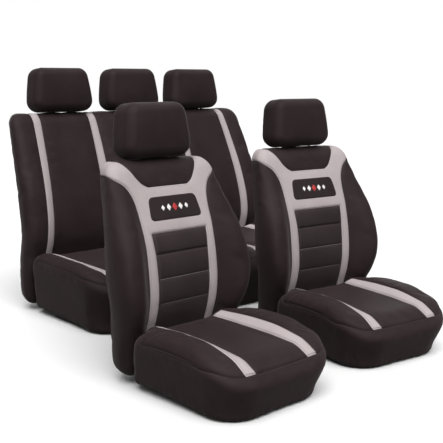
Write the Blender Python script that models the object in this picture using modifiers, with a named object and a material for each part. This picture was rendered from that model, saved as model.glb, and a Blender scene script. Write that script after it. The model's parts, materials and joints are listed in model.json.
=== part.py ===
# Seat cover set: two front seats and one rear bench, each with its covers drawn over the seat inside.
# Metres, +Z up. Every seat faces -Y. The origin is the underside of the left seat's pan.
import math

import bmesh
import bpy
import numpy as np
from mathutils import Matrix, Vector

SET_NAME = "seat_cover_set"

# Where the seats stand: (x, y) and a turn about Z in degrees.
LEFT_PLACE = (0.0, 0.0, 0.0)
RIGHT_PLACE = (0.733, 0.011, -8.0)
BENCH_PLACE = (0.740, 1.060, -2.2)

CLOTH = 0.003               # wall of a padded cover
FOAM_GAP = 0.0025           # between a cover and the foam in it
PANEL_LIFT = 0.0008         # between a cover and a panel sewn on it
PANEL_WALL = 0.0022
CREASE_GAP = 0.006          # between the cushion and the backrest
RUNNING_GAP = 0.0003        # between a shaft and its bore
PAN_WALL = 0.0025
FOAM_FLOOR = 0.056          # the cushion foam ends here, above the pan's rim
HEM_FRONT = 0.004           # height of the hem above the ground, front and back
HEM_BACK = 0.026
DEEPEST = 0.125             # depth of a backrest pad before it is scaled to its thickness
FOAM_SHARE = 0.6            # share of the backrest's thickness that is foam
SHAFT_RADIUS = 0.007
BOSS_RADIUS = 0.013
PIVOT_HEIGHT = 0.07
FOAM_START = 0.135          # the back foam ends here, above the shaft
HOOP_RADIUS = 0.009
POST_RADIUS = 0.006
POST_SPREAD = 0.070
HEAD_LEAN = 0.10            # how far the headrest leans back, as a slope

# One front seat. Profiles are (height, value) pairs.
FRONT_SEAT = {
    "half_width": 0.265, "front": -0.330, "back": 0.235, "top": 0.183, "height": 0.170,
    "cushion_corner": 0.130, "side_draw": 0.14, "front_draw": 0.14,
    "columns": (-1.0, -0.80, -0.56, -0.25, 0.25, 0.56, 0.80, 1.0),
    "rows": (-1.0, -0.82, -0.60, -0.25, 0.15, 0.60, 1.0),
    "back_half": 0.262, "back_low": 0.030, "back_high": 0.765, "back_corner": 0.050,
    "back_columns": (-1.0, -0.82, -0.66, -0.30, 0.30, 0.66, 0.82, 1.0),
    "back_rows": (-1.0, -0.72, -0.48, -0.30, -0.08, 0.14, 0.34, 0.56, 0.78, 1.0),
    "face": ((0.0, 0.235), (0.10, 0.225), (0.195, 0.195), (0.25, 0.176), (0.30, 0.167), (0.40, 0.170),
             (0.52, 0.192), (0.60, 0.222), (0.68, 0.254), (0.80, 0.302)),
    "spread": ((0.0, 0.225), (0.12, 0.245), (0.25, 0.275), (0.36, 0.292), (0.48, 0.286), (0.60, 0.266),
               (0.70, 0.246), (0.80, 0.228)),
    "thickness": ((0.0, 0.085), (0.20, 0.11), (0.40, 0.12), (0.60, 0.11), (0.80, 0.095)),
    "head_places": (0.0,), "head_y": 0.345, "head_z": 0.869, "head_half": 0.148, "head_rise": 0.097,
    "leg_x": 0.170, "hoop_top": 0.700, "pan": (0.185, -0.225, 0.110),
}

# The rear bench.
BENCH = {
    "half_width": 0.705, "front": -0.375, "back": 0.250, "top": 0.250, "height": 0.235,
    "cushion_corner": 0.120, "side_draw": 0.05, "front_draw": 0.12,
    "columns": (-1.0, -0.91, -0.78, -0.50, -0.38, -0.20, 0.20, 0.38, 0.50, 0.78, 0.91, 1.0),
    "rows": (-1.0, -0.82, -0.60, -0.25, 0.15, 0.60, 1.0),
    "back_half": 0.705, "back_low": 0.030, "back_high": 0.890, "back_corner": 0.050,
    "back_columns": (-1.0, -0.91, -0.78, -0.50, -0.38, -0.20, 0.20, 0.38, 0.50, 0.78, 0.91, 1.0),
    "back_rows": (-1.0, -0.72, -0.42, -0.26, -0.08, 0.14, 0.36, 0.58, 0.80, 1.0),
    "face": ((0.0, 0.250), (0.10, 0.238), (0.27, 0.195), (0.33, 0.178), (0.40, 0.175), (0.50, 0.190),
             (0.62, 0.222), (0.72, 0.258), (0.80, 0.290), (0.90, 0.335)),
    "spread": ((0.0, 0.680), (0.25, 0.705), (0.60, 0.705), (0.90, 0.680)),
    "thickness": ((0.0, 0.100), (0.30, 0.120), (0.60, 0.115), (0.90, 0.100)),
    "head_places": (-0.40, 0.0, 0.40), "head_y": 0.385, "head_z": 0.998, "head_half": 0.158, "head_rise": 0.101,
    "leg_x": 0.520, "hoop_top": 0.825, "pan": (0.640, -0.275, 0.125),
}
BENCH_PLACE_CENTRE = 0.42   # middle of each outer place on the bench

MATERIALS = {
    "dark_fabric": ((0.030, 0.027, 0.027), 0.90, 0.0),
    "grey_fabric": ((0.300, 0.275, 0.255), 0.85, 0.0),
    "pleated_fabric": ((0.026, 0.023, 0.023), 0.92, 0.0),
    "patch_fabric": ((0.018, 0.016, 0.016), 0.80, 0.0),
    "foam": ((0.55, 0.50, 0.32), 0.95, 0.0),
    "painted_steel": ((0.05, 0.05, 0.055), 0.45, 0.8),
    "bright_steel": ((0.62, 0.62, 0.64), 0.25, 1.0),
    "black_plastic": ((0.03, 0.03, 0.03), 0.50, 0.0),
}


# --- formulas -------------------------------------------------------------------------------------

def ramp(t):
    # 0 below t = 0, 1 above t = 1, and a smooth step between
    t = np.clip(t, 0.0, 1.0)
    return t * t * (3.0 - 2.0 * t)


def curve_through(points):
    # smooth curve through (position, value) pairs: cubic pieces whose slopes average their neighbours'
    at, value = np.array(points, float).T
    step = np.diff(at)
    slope = np.diff(value) / step
    tangent = np.concatenate([slope[:1], (slope[:-1] * step[1:] + slope[1:] * step[:-1])
                              / (step[:-1] + step[1:]), slope[-1:]])

    def curve(x):
        x = np.clip(x, at[0], at[-1])
        i = np.clip(np.searchsorted(at, x) - 1, 0, len(at) - 2)
        t = (x - at[i]) / step[i]
        rise = value[i + 1] - value[i]
        bend = (tangent[i] * (1 - t) - tangent[i + 1] * t) * step[i] + rise * (2 * t - 1)
        return value[i] + rise * t + t * (1 - t) * bend

    return curve


def front_cushion_top(x, y, seat):
    # height of a front cushion: side bolsters, a rounded front edge and a slight rise to the back
    along = (y - seat["front"]) / (seat["back"] - seat["front"])
    bolster = 0.038 * ramp((np.abs(x) - 0.09) / 0.09) * ramp(along / 0.42)
    bolster = bolster * (1 - 0.42 * ramp((along - 0.5) / 0.5))
    roll = 0.035 * ramp((0.20 - along) / 0.20) ** 1.3
    return seat["top"] + bolster - roll + 0.018 * ramp(along)


def front_back_bolster(x, z):
    # how far the side bolsters of a front backrest stand forward
    amount = curve_through(((0.0, 0.020), (0.15, 0.035), (0.25, 0.050), (0.40, 0.053), (0.52, 0.037),
                            (0.64, 0.014), (0.72, 0.004), (0.80, 0.0)))(z)
    spread = curve_through(FRONT_SEAT["spread"])(z)
    return amount * ramp((np.abs(x) / spread - 0.56) / 0.28)


def bench_cushion_top(x, y, seat):
    # height of the bench cushion: low bolsters beside each outer place, a rounded front edge
    along = (y - seat["front"]) / (seat["back"] - seat["front"])
    off_centre = np.abs(np.abs(x) - BENCH_PLACE_CENTRE)
    bolster = 0.020 * ramp((off_centre - 0.13) / 0.10) * ramp(along / 0.45)
    roll = 0.035 * ramp((0.20 - along) / 0.20) ** 1.3
    return seat["top"] + bolster - roll + 0.012 * ramp(along)


def bench_back_bolster(x, z):
    # how far the low bolsters of the bench back stand forward
    amount = curve_through(((0.0, 0.010), (0.30, 0.022), (0.50, 0.024), (0.75, 0.010), (0.90, 0.0)))(z)
    off_centre = np.abs(np.abs(x) - BENCH_PLACE_CENTRE)
    return amount * ramp((off_centre - 0.12) / 0.10)


def pad(half, corners, columns, rows, path):
    # Points and quads of a pad: a grid over the face, then one ring for each step of the path, which
    # gives how far a ring stands out from the face's edge and how deep it lies.
    # corners are the outline's radii: low pair, high pair. Returns (x, y, depth), quads and rings.
    rim = max(out for out, depth in path)
    columns, rows = np.array(columns), np.array(rows)

    def outline(a, b):
        radius = np.maximum(np.where(b < 0, corners[0], corners[1]) - rim, 0.001)
        hx, hy = half[0] - rim, half[1] - rim
        ix = np.clip(hx * a, radius - hx, hx - radius)
        iy = np.clip(hy * b, radius - hy, hy - radius)
        dx, dy = hx * a - ix, hy * b - iy
        reach = np.maximum(np.hypot(dx, dy), 1e-9)
        return ix + radius * dx / reach, iy + radius * dy / reach, dx / reach, dy / reach

    a, b = np.meshgrid(columns, rows, indexing="ij")
    size = np.maximum(np.abs(a), np.abs(b))
    edge_x, edge_y, _, _ = outline(a / np.maximum(size, 1e-9), b / np.maximum(size, 1e-9))
    face = np.stack([edge_x * size, edge_y * size, 0 * size], -1).reshape(-1, 3)
    index = np.arange(len(face)).reshape(a.shape)
    quads = [np.stack([index[:-1, :-1], index[1:, :-1], index[1:, 1:], index[:-1, 1:]], -1).reshape(-1, 4)]
    last_a, last_b = len(columns) - 1, len(rows) - 1
    loop = [(i, 0) for i in range(last_a)] + [(last_a, j) for j in range(last_b)]
    loop += [(i, last_b) for i in range(last_a, 0, -1)] + [(0, j) for j in range(last_b, 0, -1)]
    loop_a = columns[[i for i, j in loop]]
    loop_b = rows[[j for i, j in loop]]
    edge_x, edge_y, out_x, out_y = outline(loop_a, loop_b)
    rings = [np.stack([edge_x + out_x * out, edge_y + out_y * out, 0 * edge_x + depth], -1) for out, depth in path]
    ring_index = np.vstack([[index[i, j] for i, j in loop],
                            len(face) + np.arange(len(path) * len(loop)).reshape(len(path), -1)])
    following = np.roll(ring_index, -1, axis=1)
    quads.append(np.stack([ring_index[1:], following[1:], following[:-1], ring_index[:-1]], -1).reshape(-1, 4))
    return np.concatenate([face] + rings), np.concatenate(quads), ring_index


def rim_path(rim, wall, under, stops=()):
    # a quarter round of two steps, a wall with extra stops on the way down, and a tuck at the end
    path = [(rim * math.sin(angle), rim * (1 - math.cos(angle))) for angle in (math.pi / 4, math.pi / 2)]
    path += [(rim, depth) for depth in stops]
    return path + [(rim, rim + wall), (rim - under, rim + wall + under)]


def along_normals(points, quads, distance):
    # every point moved along the mean normal of the faces round it
    normal = np.cross(points[quads[:, 2]] - points[quads[:, 0]], points[quads[:, 3]] - points[quads[:, 1]])
    normal /= np.maximum(np.linalg.norm(normal, axis=1), 1e-12)[:, None]
    total = np.zeros_like(points)
    for corner in range(4):
        np.add.at(total, quads[:, corner], normal)
    return points + distance * total / np.maximum(np.linalg.norm(total, axis=1), 1e-12)[:, None]


# --- meshes ---------------------------------------------------------------------------------------

def mesh_of(points, quads, bottom=()):
    # every quad is split along the same diagonal, so that offset copies of a surface stay parallel
    faces = np.concatenate([quads[:, [0, 1, 2]], quads[:, [0, 2, 3]]]).tolist()
    mesh = bpy.data.meshes.new("mesh")
    mesh.from_pydata(points.tolist(), [], faces + [list(ring) for ring in bottom])
    return mesh


def mesh_from_bmesh(bm):
    mesh = bpy.data.meshes.new("mesh")
    bm.to_mesh(mesh)
    bm.free()
    return mesh


def modified(mesh, kind, **settings):
    # the mesh after one modifier
    obj = bpy.data.objects.new("working", mesh)
    bpy.context.scene.collection.objects.link(obj)
    modifier = obj.modifiers.new(kind, kind)
    for key, value in settings.items():
        setattr(modifier, key, value)
    result = bpy.data.meshes.new_from_object(obj.evaluated_get(bpy.context.evaluated_depsgraph_get()))
    bpy.data.objects.remove(obj)
    return result


def combined(mesh, operation, other):
    # the mesh cut by, joined to or kept inside another one
    tool = bpy.data.objects.new("tool", other)
    bpy.context.scene.collection.objects.link(tool)
    result = modified(mesh, "BOOLEAN", operation=operation, object=tool, solver="EXACT")
    bpy.data.objects.remove(tool)
    return result


def shell_of(points, faces, inward=True, wall=CLOTH):
    # an open surface given a wall on its inner or its outer side
    return modified(mesh_of(points, faces), "SOLIDIFY", thickness=wall, offset=-1.0 if inward else 1.0)


def block(low, high, bevel=0.0, segments=2):
    # a box between two corners, its upright edges rounded by bevel
    bm = bmesh.new()
    bmesh.ops.create_cube(bm, size=1.0)
    size = Vector(high) - Vector(low)
    for vert in bm.verts:
        vert.co = Vector(low) + Vector((size[i] * (vert.co[i] + 0.5) for i in range(3)))
    if bevel:
        upright = [e for e in bm.edges if abs(e.verts[0].co.z - e.verts[1].co.z) > 1e-6]
        bmesh.ops.bevel(bm, geom=upright, offset=bevel, segments=segments, profile=0.5, affect="EDGES")
    return mesh_from_bmesh(bm)


def rod(start, end, radius, sides=12):
    # a straight round bar between two points
    bm = bmesh.new()
    axis = Vector(end) - Vector(start)
    middle = (Vector(end) + Vector(start)) / 2
    turn = axis.to_track_quat("Z", "Y").to_matrix().to_4x4()
    bmesh.ops.create_cone(bm, cap_ends=True, segments=sides, radius1=radius, radius2=radius,
                          depth=axis.length, matrix=Matrix.Translation(middle) @ turn)
    return mesh_from_bmesh(bm)


def tube(points, radius):
    # a bent tube: a poly curve with a round bevel and filled caps, made a closed mesh
    curve = bpy.data.curves.new("tube", "CURVE")
    curve.dimensions = "3D"
    curve.bevel_depth = radius
    curve.bevel_resolution = 2
    curve.use_fill_caps = True
    spline = curve.splines.new("POLY")
    spline.points.add(len(points) - 1)
    for point, place in zip(spline.points, points):
        point.co = (*place, 1.0)
    obj = bpy.data.objects.new("tube", curve)
    bpy.context.scene.collection.objects.link(obj)
    mesh = bpy.data.meshes.new_from_object(obj.evaluated_get(bpy.context.evaluated_depsgraph_get()))
    bpy.data.objects.remove(obj)
    bm = bmesh.new()
    bm.from_mesh(mesh)
    bmesh.ops.remove_doubles(bm, verts=bm.verts, dist=1e-5)
    bmesh.ops.recalc_face_normals(bm, faces=bm.faces)
    return mesh_from_bmesh(bm)


def prism(outline, axis, low, high):
    # a flat outline carried along Y or Z, used to cut a panel out of a cover's surface
    bm = bmesh.new()
    place = (lambda u, v: (u, low, v)) if axis == "Y" else (lambda u, v: (u, v, low))
    face = bm.faces.new([bm.verts.new(place(u, v)) for u, v in outline])
    shift = Vector((0, high - low, 0)) if axis == "Y" else Vector((0, 0, high - low))
    swept = bmesh.ops.extrude_face_region(bm, geom=[face])
    bmesh.ops.translate(bm, vec=shift, verts=[v for v in swept["geom"] if isinstance(v, bmesh.types.BMVert)])
    bmesh.ops.recalc_face_normals(bm, faces=bm.faces)
    return mesh_from_bmesh(bm)


def tidied(mesh, turn=Matrix.Identity(4)):
    # doubles and slivers left by a cut are merged, and the mesh is turned into its place
    bm = bmesh.new()
    bm.from_mesh(mesh)
    bmesh.ops.remove_doubles(bm, verts=bm.verts, dist=2e-6)
    bmesh.ops.dissolve_degenerate(bm, edges=bm.edges, dist=2e-6)
    bmesh.ops.transform(bm, matrix=turn, verts=bm.verts)
    return mesh_from_bmesh(bm)


# --- the forms of a seat --------------------------------------------------------------------------

def backrest_points(seat, bolster, flat):
    # flat pad points (x, z, depth) carried onto the backrest
    middle = (seat["back_low"] + seat["back_high"]) / 2
    z = flat[:, 1] + middle
    depth = flat[:, 2] / DEEPEST
    spread = curve_through(seat["spread"])(z) / seat["back_half"]
    x = flat[:, 0] * spread
    forward = bolster(x, z) * (1 - ramp(depth * 2))
    y = curve_through(seat["face"])(z) - forward + curve_through(seat["thickness"])(z) * depth
    draw = 0.026 * ramp(depth)
    return np.stack([x - np.sign(x) * draw * np.clip(np.abs(x) / seat["back_half"], 0, 1), y, z], -1)


def cushion_points(seat, top, bolster, flat):
    # flat pad points (x, y, depth) carried onto the cushion: walls drawn in towards the hem, and the
    # back wall laid along the backrest's face
    middle = (seat["front"] + seat["back"]) / 2
    x, y = flat[:, 0], flat[:, 1] + middle
    down = flat[:, 2] / seat["height"]
    crown = top(x, y, seat)
    along = (y - seat["front"]) / (seat["back"] - seat["front"])
    hem = HEM_FRONT + (HEM_BACK - HEM_FRONT) * ramp(along)
    z = crown - (crown - hem) * down
    x = x * (1 - seat["side_draw"] * ramp(down))
    y = np.where(y < middle, middle + (y - middle) * (1 - seat["front_draw"] * ramp(down)), y)
    face = curve_through(seat["face"])(z) - bolster(x, z) - CREASE_GAP
    wall = np.minimum(face, curve_through(seat["face"])(0.16) - CREASE_GAP)
    share = ramp((y - middle) / (seat["back"] - middle))
    return np.stack([x, y - (seat["back"] - wall) * share, z], -1)


def cushion_flat(seat):
    middle_step = seat["height"] * 0.55
    path = rim_path(0.045, seat["height"] - 0.065, 0.020, (middle_step,))
    half = (seat["half_width"], (seat["back"] - seat["front"]) / 2)
    return pad(half, (seat["cushion_corner"], 0.05), seat["columns"], seat["rows"], path)


def backrest_flat(seat):
    path = rim_path(0.040, 0.050, 0.035, (FOAM_SHARE * DEEPEST,))
    half = (seat["back_half"], (seat["back_high"] - seat["back_low"]) / 2)
    return pad(half, (0.05, seat["back_corner"]), seat["back_columns"], seat["back_rows"], path)


def closed_pad(flat, quads, rings, last, columns, rows):
    # a pad up to one of its rings, closed on the far side by the face's grid turned over
    count = int(rings[last].max()) + 1
    shape = (len(columns), len(rows))
    far = flat[:shape[0] * shape[1]].copy()
    far[:, 2] = flat[rings[last][0], 2]
    index = count + np.arange(len(far)).reshape(shape)
    index[0, :], index[-1, :], index[:, 0], index[:, -1] = ring_sides(rings[last], shape)
    grid = np.stack([index[:-1, 1:], index[1:, 1:], index[1:, :-1], index[:-1, :-1]], -1).reshape(-1, 4)
    kept = quads[(quads < count).all(axis=1)]
    return np.concatenate([flat[:count], far]), np.concatenate([kept, grid])


def ring_sides(ring, shape):
    # a ring's points as the left, right, low and high sides of the grid that it goes round
    a, b = shape[0] - 1, shape[1] - 1
    loop = np.append(ring, ring[0])
    low, right = loop[:a + 1], loop[a:a + b + 1]
    high, left = loop[a + b:2 * a + b + 1][::-1], loop[2 * a + b:][::-1]
    return left, right, low, high


def without_unused(points, quads):
    # the points that the quads use, and the quads renumbered to match
    used, renumbered = np.unique(quads, return_inverse=True)
    return points[used], renumbered.reshape(quads.shape)


# --- pieces ---------------------------------------------------------------------------------------

def cushion_pieces(seat, top, bolster, stripes):
    flat, quads, rings = cushion_flat(seat)
    points = cushion_points(seat, top, bolster, flat)
    pieces = {"cushion_cover": shell_of(points, quads)}

    # the foam follows the cover down to its last wall ring and ends in a flat face above the pan
    inner = along_normals(points, quads, -(CLOTH + FOAM_GAP))[:rings[-2].max() + 1]
    inner[rings[-2], 2] = FOAM_FLOOR
    walls = quads[(quads < len(inner)).all(axis=1)]
    pieces["cushion_foam"] = mesh_of(inner, walls, bottom=[rings[-2][::-1].tolist()])

    base = along_normals(points, quads, PANEL_LIFT)
    upper = quads[(quads <= rings[2].max()).all(axis=1)]
    for name, outline in stripes.items():
        slab = shell_of(base, upper, inward=False, wall=PANEL_WALL)
        pieces[name] = tidied(combined(slab, "INTERSECT", prism(outline, "Z", 0.05, 0.45)))
    return pieces


def pan_piece(seat, pivot):
    # a flat tray with a foot and an upright ear at each end of the shaft
    half, front, back = seat["pan"]
    pan = block((-half, front, 0), (half, back, FOAM_FLOOR - 0.001), bevel=0.07, segments=3)
    hollow = block((PAN_WALL - half, front + PAN_WALL, PAN_WALL), (half - PAN_WALL, back - PAN_WALL, 0.1),
                   bevel=0.07 - PAN_WALL, segments=3)
    pan = combined(pan, "DIFFERENCE", hollow)
    for side in (-1, 1):
        ear = side * (seat["leg_x"] - 0.045)
        foot = block((ear - 0.004, back - 0.020, 0), (ear + 0.004, pivot[0] + 0.011, 0.012))
        post = block((ear - 0.004, pivot[0] - 0.011, 0), (ear + 0.004, pivot[0] + 0.011, pivot[1] + 0.012))
        pan = combined(pan, "UNION", combined(foot, "UNION", post))
    reach = seat["leg_x"] + 0.05
    bore = rod((-reach, *pivot), (reach, *pivot), SHAFT_RADIUS + RUNNING_GAP)
    return tidied(combined(pan, "DIFFERENCE", bore))


def back_frame_piece(seat, pivot):
    # a hoop of tube behind the foam, with a boss round the shaft at the foot of each leg
    face, thickness = curve_through(seat["face"]), curve_through(seat["thickness"])
    leg, top, bend = seat["leg_x"], seat["hoop_top"], 0.06

    def place(x, z):
        return (x, float(face(z) + 0.80 * thickness(z)) + 0.004 * float(ramp((z - 0.5) / 0.2)), z)

    heights = np.linspace(0.16, top - bend, 6)
    corner = [(leg - bend * (1 - math.cos(a)), top - bend * (1 - math.sin(a))) for a in (math.pi / 4, math.pi / 2)]
    right = [(leg, pivot[0], pivot[1])] + [place(leg, z) for z in heights] + [place(x, z) for x, z in corner]
    left = [(-x, y, z) for x, y, z in reversed(right)]
    hoop = tube(right + left, HOOP_RADIUS)
    for side in (-1, 1):
        boss = rod((side * leg - 0.012, *pivot), (side * leg + 0.012, *pivot), BOSS_RADIUS)
        hoop = combined(hoop, "UNION", boss)
    reach = leg + 0.05
    bore = rod((-reach, *pivot), (reach, *pivot), SHAFT_RADIUS + RUNNING_GAP)
    return tidied(combined(hoop, "DIFFERENCE", bore))


def backrest_pieces(seat, bolster, panels, pivot, head_frames):
    flat, quads, rings = backrest_flat(seat)
    columns, rows = seat["back_columns"], seat["back_rows"]
    all_flat, all_quads = closed_pad(flat, quads, rings, len(rings) - 1, columns, rows)
    points = backrest_points(seat, bolster, all_flat)

    # the cover is a bag: its underside is left open, and the headrest posts pass its top
    face_quads = (len(columns) - 1) * (len(rows) - 1)
    under = [face_quads + ring * rings.shape[1] + i for ring in range(2, len(rings) - 1)
             for i in range(1, len(columns) - 2)]
    cover = shell_of(*without_unused(points, np.delete(all_quads, under, axis=0)))
    for frame in head_frames:
        for side in (-1, 1):
            hole = rod((side * POST_SPREAD, 0, -0.16), (side * POST_SPREAD, 0, -0.06), POST_RADIUS + 0.0015, 10)
            cover = combined(cover, "DIFFERENCE", tidied(hole, frame))
    pieces = {"back_cover": tidied(cover)}

    # the foam fills the front of the bag, above the shaft, with a pocket for each headrest guide
    foam_flat, foam_quads = closed_pad(flat, quads, rings, 3, columns, rows)
    foam_points = backrest_points(seat, bolster, foam_flat)
    skin = rings[3].max() + 1
    foam_points[:skin] = along_normals(points, all_quads, -(CLOTH + FOAM_GAP))[:skin]
    foam = mesh_of(foam_points, foam_quads)
    foam = combined(foam, "DIFFERENCE", block((-1, -1, -1), (1, 1, FOAM_START)))
    for frame in head_frames:
        pocket = tidied(block((-0.092, -0.018, -0.30), (0.092, 0.060, 0.0)), frame)
        foam = combined(foam, "DIFFERENCE", pocket)
    pieces["back_foam"] = tidied(foam)

    base = along_normals(points, all_quads, PANEL_LIFT)
    front = quads[(quads <= int(rings[1].max())).all(axis=1)]
    for name, (outline, layer) in panels.items():
        lifted = along_normals(base, all_quads, layer * (PANEL_WALL + PANEL_LIFT))
        slab = shell_of(lifted, front, inward=False, wall=PANEL_WALL)
        pieces[name] = tidied(combined(slab, "INTERSECT", prism(outline, "Y", -0.1, 0.6)))
    pieces["back_frame"] = back_frame_piece(seat, pivot)
    return pieces


def headrest_pieces(seat):
    # in the headrest's own frame: X across, Y to the back, Z up along the posts
    half, rise, depth = seat["head_half"], seat["head_rise"], 0.115
    columns, rows = (-1.0, -0.72, 0.0, 0.72, 1.0), (-1.0, -0.5, 0.1, 1.0)
    path = rim_path(0.035, depth - 0.07, 0.035)
    flat, quads, rings = pad((half, rise), (0.05, 0.045), columns, rows, path)
    flat, all_quads = closed_pad(flat, quads, rings, len(rings) - 1, columns, rows)
    x, z = flat[:, 0], flat[:, 1]
    narrow = np.where(z > -0.03, 0.13 * ((z + 0.03) / (rise + 0.03)) ** 2, 0.05 * ((z + 0.03) / (rise - 0.03)) ** 2)
    crown = 0.012 * (1 - (x / half) ** 2) * (1 - (z / rise) ** 2) * np.abs(1 - 2 * flat[:, 2] / depth)
    y = flat[:, 2] - depth / 2 + crown * np.where(flat[:, 2] < depth / 2, -1, 0.4)
    points = np.stack([x * (1 - narrow), y, z], -1)

    face_quads = (len(columns) - 1) * (len(rows) - 1)
    open_quads = [face_quads + 2 * rings.shape[1] + i for i in (1, 2)]
    bag = without_unused(points, np.delete(all_quads, open_quads, axis=0))
    pieces = {"headrest_cover": shell_of(*bag)}

    top = 0.020
    lowest = -rise - 0.155
    upright = [(POST_SPREAD, 0, lowest), (POST_SPREAD, 0, top - 0.02), (POST_SPREAD - 0.006, 0, top - 0.006),
               (POST_SPREAD - 0.02, 0, top)]
    path = upright + [(-x, y, z) for x, y, z in reversed(upright)]
    pieces["headrest_posts"] = tube(path, POST_RADIUS)
    inner = along_normals(points, all_quads, -(CLOTH + FOAM_GAP))
    foam = mesh_of(inner, all_quads)
    pieces["headrest_foam"] = tidied(combined(foam, "DIFFERENCE", tube(path, POST_RADIUS + 0.0006)))

    block_top = -rise - 0.017
    guide = block((-0.088, -0.013, block_top - 0.040), (0.088, 0.013, block_top))
    for side in (-1, 1):
        bore = rod((side * POST_SPREAD, 0, -0.3), (side * POST_SPREAD, 0, 0), POST_RADIUS + 0.0006)
        guide = combined(guide, "DIFFERENCE", bore)
    pieces["headrest_guide"] = tidied(guide)
    return pieces


# --- outlines of the sewn panels ------------------------------------------------------------------

def mirrored(half_outline):
    # an outline given on the right, from bottom to top, closed by its mirror image
    return list(half_outline) + [(-u, v) for u, v in reversed(half_outline)]


def rounded(corners, radius, steps=3):
    # a polygon with each corner replaced by a short arc
    outline = []
    count = len(corners)
    for i in range(count):
        corner = Vector(corners[i])
        before = (Vector(corners[i - 1]) - corner).normalized()
        after = (Vector(corners[(i + 1) % count]) - corner).normalized()
        for k in range(steps + 1):
            t = k / steps
            outline.append(tuple(corner + radius * (before * (1 - t) ** 2 + after * t ** 2)))
    return outline


def front_panels():
    # the light frame: up its outer edge to the shoulder, down round the dark yoke, up the other arm
    # and back, then round the insert, which is open at the foot
    outer = [(0.155, 0.170), (0.156, 0.25), (0.158, 0.42), (0.160, 0.56), (0.163, 0.61), (0.172, 0.65),
             (0.195, 0.688), (0.225, 0.712)]
    yoke = [(0.172, 0.752), (0.145, 0.732), (0.120, 0.697), (0.095, 0.678)]
    inner = [(0.118, 0.170), (0.118, 0.33), (0.120, 0.45), (0.125, 0.527)]
    outline = mirrored(outer + yoke) + mirrored(inner)[::-1]
    insert = [(u - 0.0012, v - (0.0012 if v > 0.5 else 0.0)) for u, v in inner]
    patch = rounded([(0.118, 0.566), (0.107, 0.645), (-0.107, 0.645), (-0.118, 0.566)], 0.012)
    return {"back_trim": (outline, 0), "back_insert": (mirrored(insert), 0), "back_patch": (patch, 1)}


def front_stripes():
    right = [(0.118, 0.150), (0.118, 0.0), (0.120, -0.15), (0.122, -0.275), (0.168, -0.275), (0.160, -0.15),
             (0.158, 0.0), (0.158, 0.150)]
    return {"cushion_stripe_r": right, "cushion_stripe_l": [(-u, v) for u, v in right]}


def bench_stripes():
    # two stripes each side, the outer one leaning outwards; they run up the back and along the cushion
    outer_back = [(0.580, 0.235), (0.575, 0.33), (0.540, 0.855), (0.582, 0.855), (0.617, 0.33), (0.622, 0.235)]
    inner_back = [(0.240, 0.235), (0.240, 0.855), (0.283, 0.855), (0.283, 0.235)]
    outer_seat = [(0.580, 0.150), (0.570, -0.320), (0.614, -0.320), (0.622, 0.150)]
    inner_seat = [(0.240, 0.150), (0.240, -0.320), (0.283, -0.320), (0.283, 0.150)]
    back, seat = {}, {}
    for name, back_outline, seat_outline in (("outer", outer_back, outer_seat), ("inner", inner_back, inner_seat)):
        for side, sign in (("l", -1), ("r", 1)):
            back[f"back_stripe_{name}_{side}"] = ([(sign * u, v) for u, v in back_outline], 0)
            seat[f"cushion_stripe_{name}_{side}"] = [(sign * u, v) for u, v in seat_outline]
    return back, seat


# --- putting the set together ---------------------------------------------------------------------

def material(name):
    color, roughness, metallic = MATERIALS[name]
    mat = bpy.data.materials.get(name)
    if mat is None:
        mat = bpy.data.materials.new(name)
        mat.use_nodes = True
        shader = mat.node_tree.nodes["Principled BSDF"]
        shader.inputs["Base Color"].default_value = (*color, 1.0)
        shader.inputs["Roughness"].default_value = roughness
        shader.inputs["Metallic"].default_value = metallic
        mat.diffuse_color = (*color, 1.0)
    return mat


PIECE_MATERIALS = {
    "cushion_cover": "dark_fabric", "back_cover": "dark_fabric", "headrest_cover": "dark_fabric",
    "back_trim": "grey_fabric", "back_insert": "pleated_fabric", "back_patch": "patch_fabric",
    "cushion_foam": "foam", "back_foam": "foam", "headrest_foam": "foam",
    "cushion_pan": "painted_steel", "back_frame": "painted_steel", "recliner_shaft": "bright_steel",
    "headrest_posts": "bright_steel", "headrest_guide": "black_plastic",
}


def piece_material(piece):
    return material("grey_fabric" if "stripe" in piece else PIECE_MATERIALS[piece])


def empty(name, parent, matrix):
    obj = bpy.data.objects.new(name, None)
    obj.parent = parent
    obj.matrix_local = matrix
    PARTS.objects.link(obj)
    return obj


def node(name, piece, mesh, parent, seat_to_parent):
    # one named piece: its mesh is moved from the seat's frame into its parent's
    own = mesh.copy()
    own.name = name
    own.transform(seat_to_parent)
    own.materials.clear()
    own.materials.append(piece_material(piece))
    if any(word in piece for word in ("shaft", "posts", "frame")):
        own.shade_smooth()
        own.set_sharp_from_angle(angle=math.radians(40))
    obj = bpy.data.objects.new(name, own)
    obj.parent = parent
    PARTS.objects.link(obj)


def pivot_of(seat):
    # (y, z) of the recline axis, in the middle of the backrest's foot
    face, thickness = curve_through(seat["face"]), curve_through(seat["thickness"])
    return float(face(PIVOT_HEIGHT) + 0.55 * thickness(PIVOT_HEIGHT)), PIVOT_HEIGHT


def head_frame(seat, x):
    # the headrest's frame in the seat's: it leans back about X
    lean = Matrix.Rotation(-math.atan(HEAD_LEAN), 4, "X")
    return Matrix.Translation((x, seat["head_y"], seat["head_z"])) @ lean


def seat_meshes(seat, top, bolster, stripes, panels):
    # every mesh of one seat, in three groups that move together
    pivot = pivot_of(seat)
    frames = [head_frame(seat, x) for x in seat["head_places"]]
    base = cushion_pieces(seat, top, bolster, stripes)
    base["cushion_pan"] = pan_piece(seat, pivot)
    reach = seat["leg_x"] + 0.016
    base["recliner_shaft"] = rod((-reach, *pivot), (reach, *pivot), SHAFT_RADIUS)
    return base, backrest_pieces(seat, bolster, panels, pivot, frames), headrest_pieces(seat), pivot, frames


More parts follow.
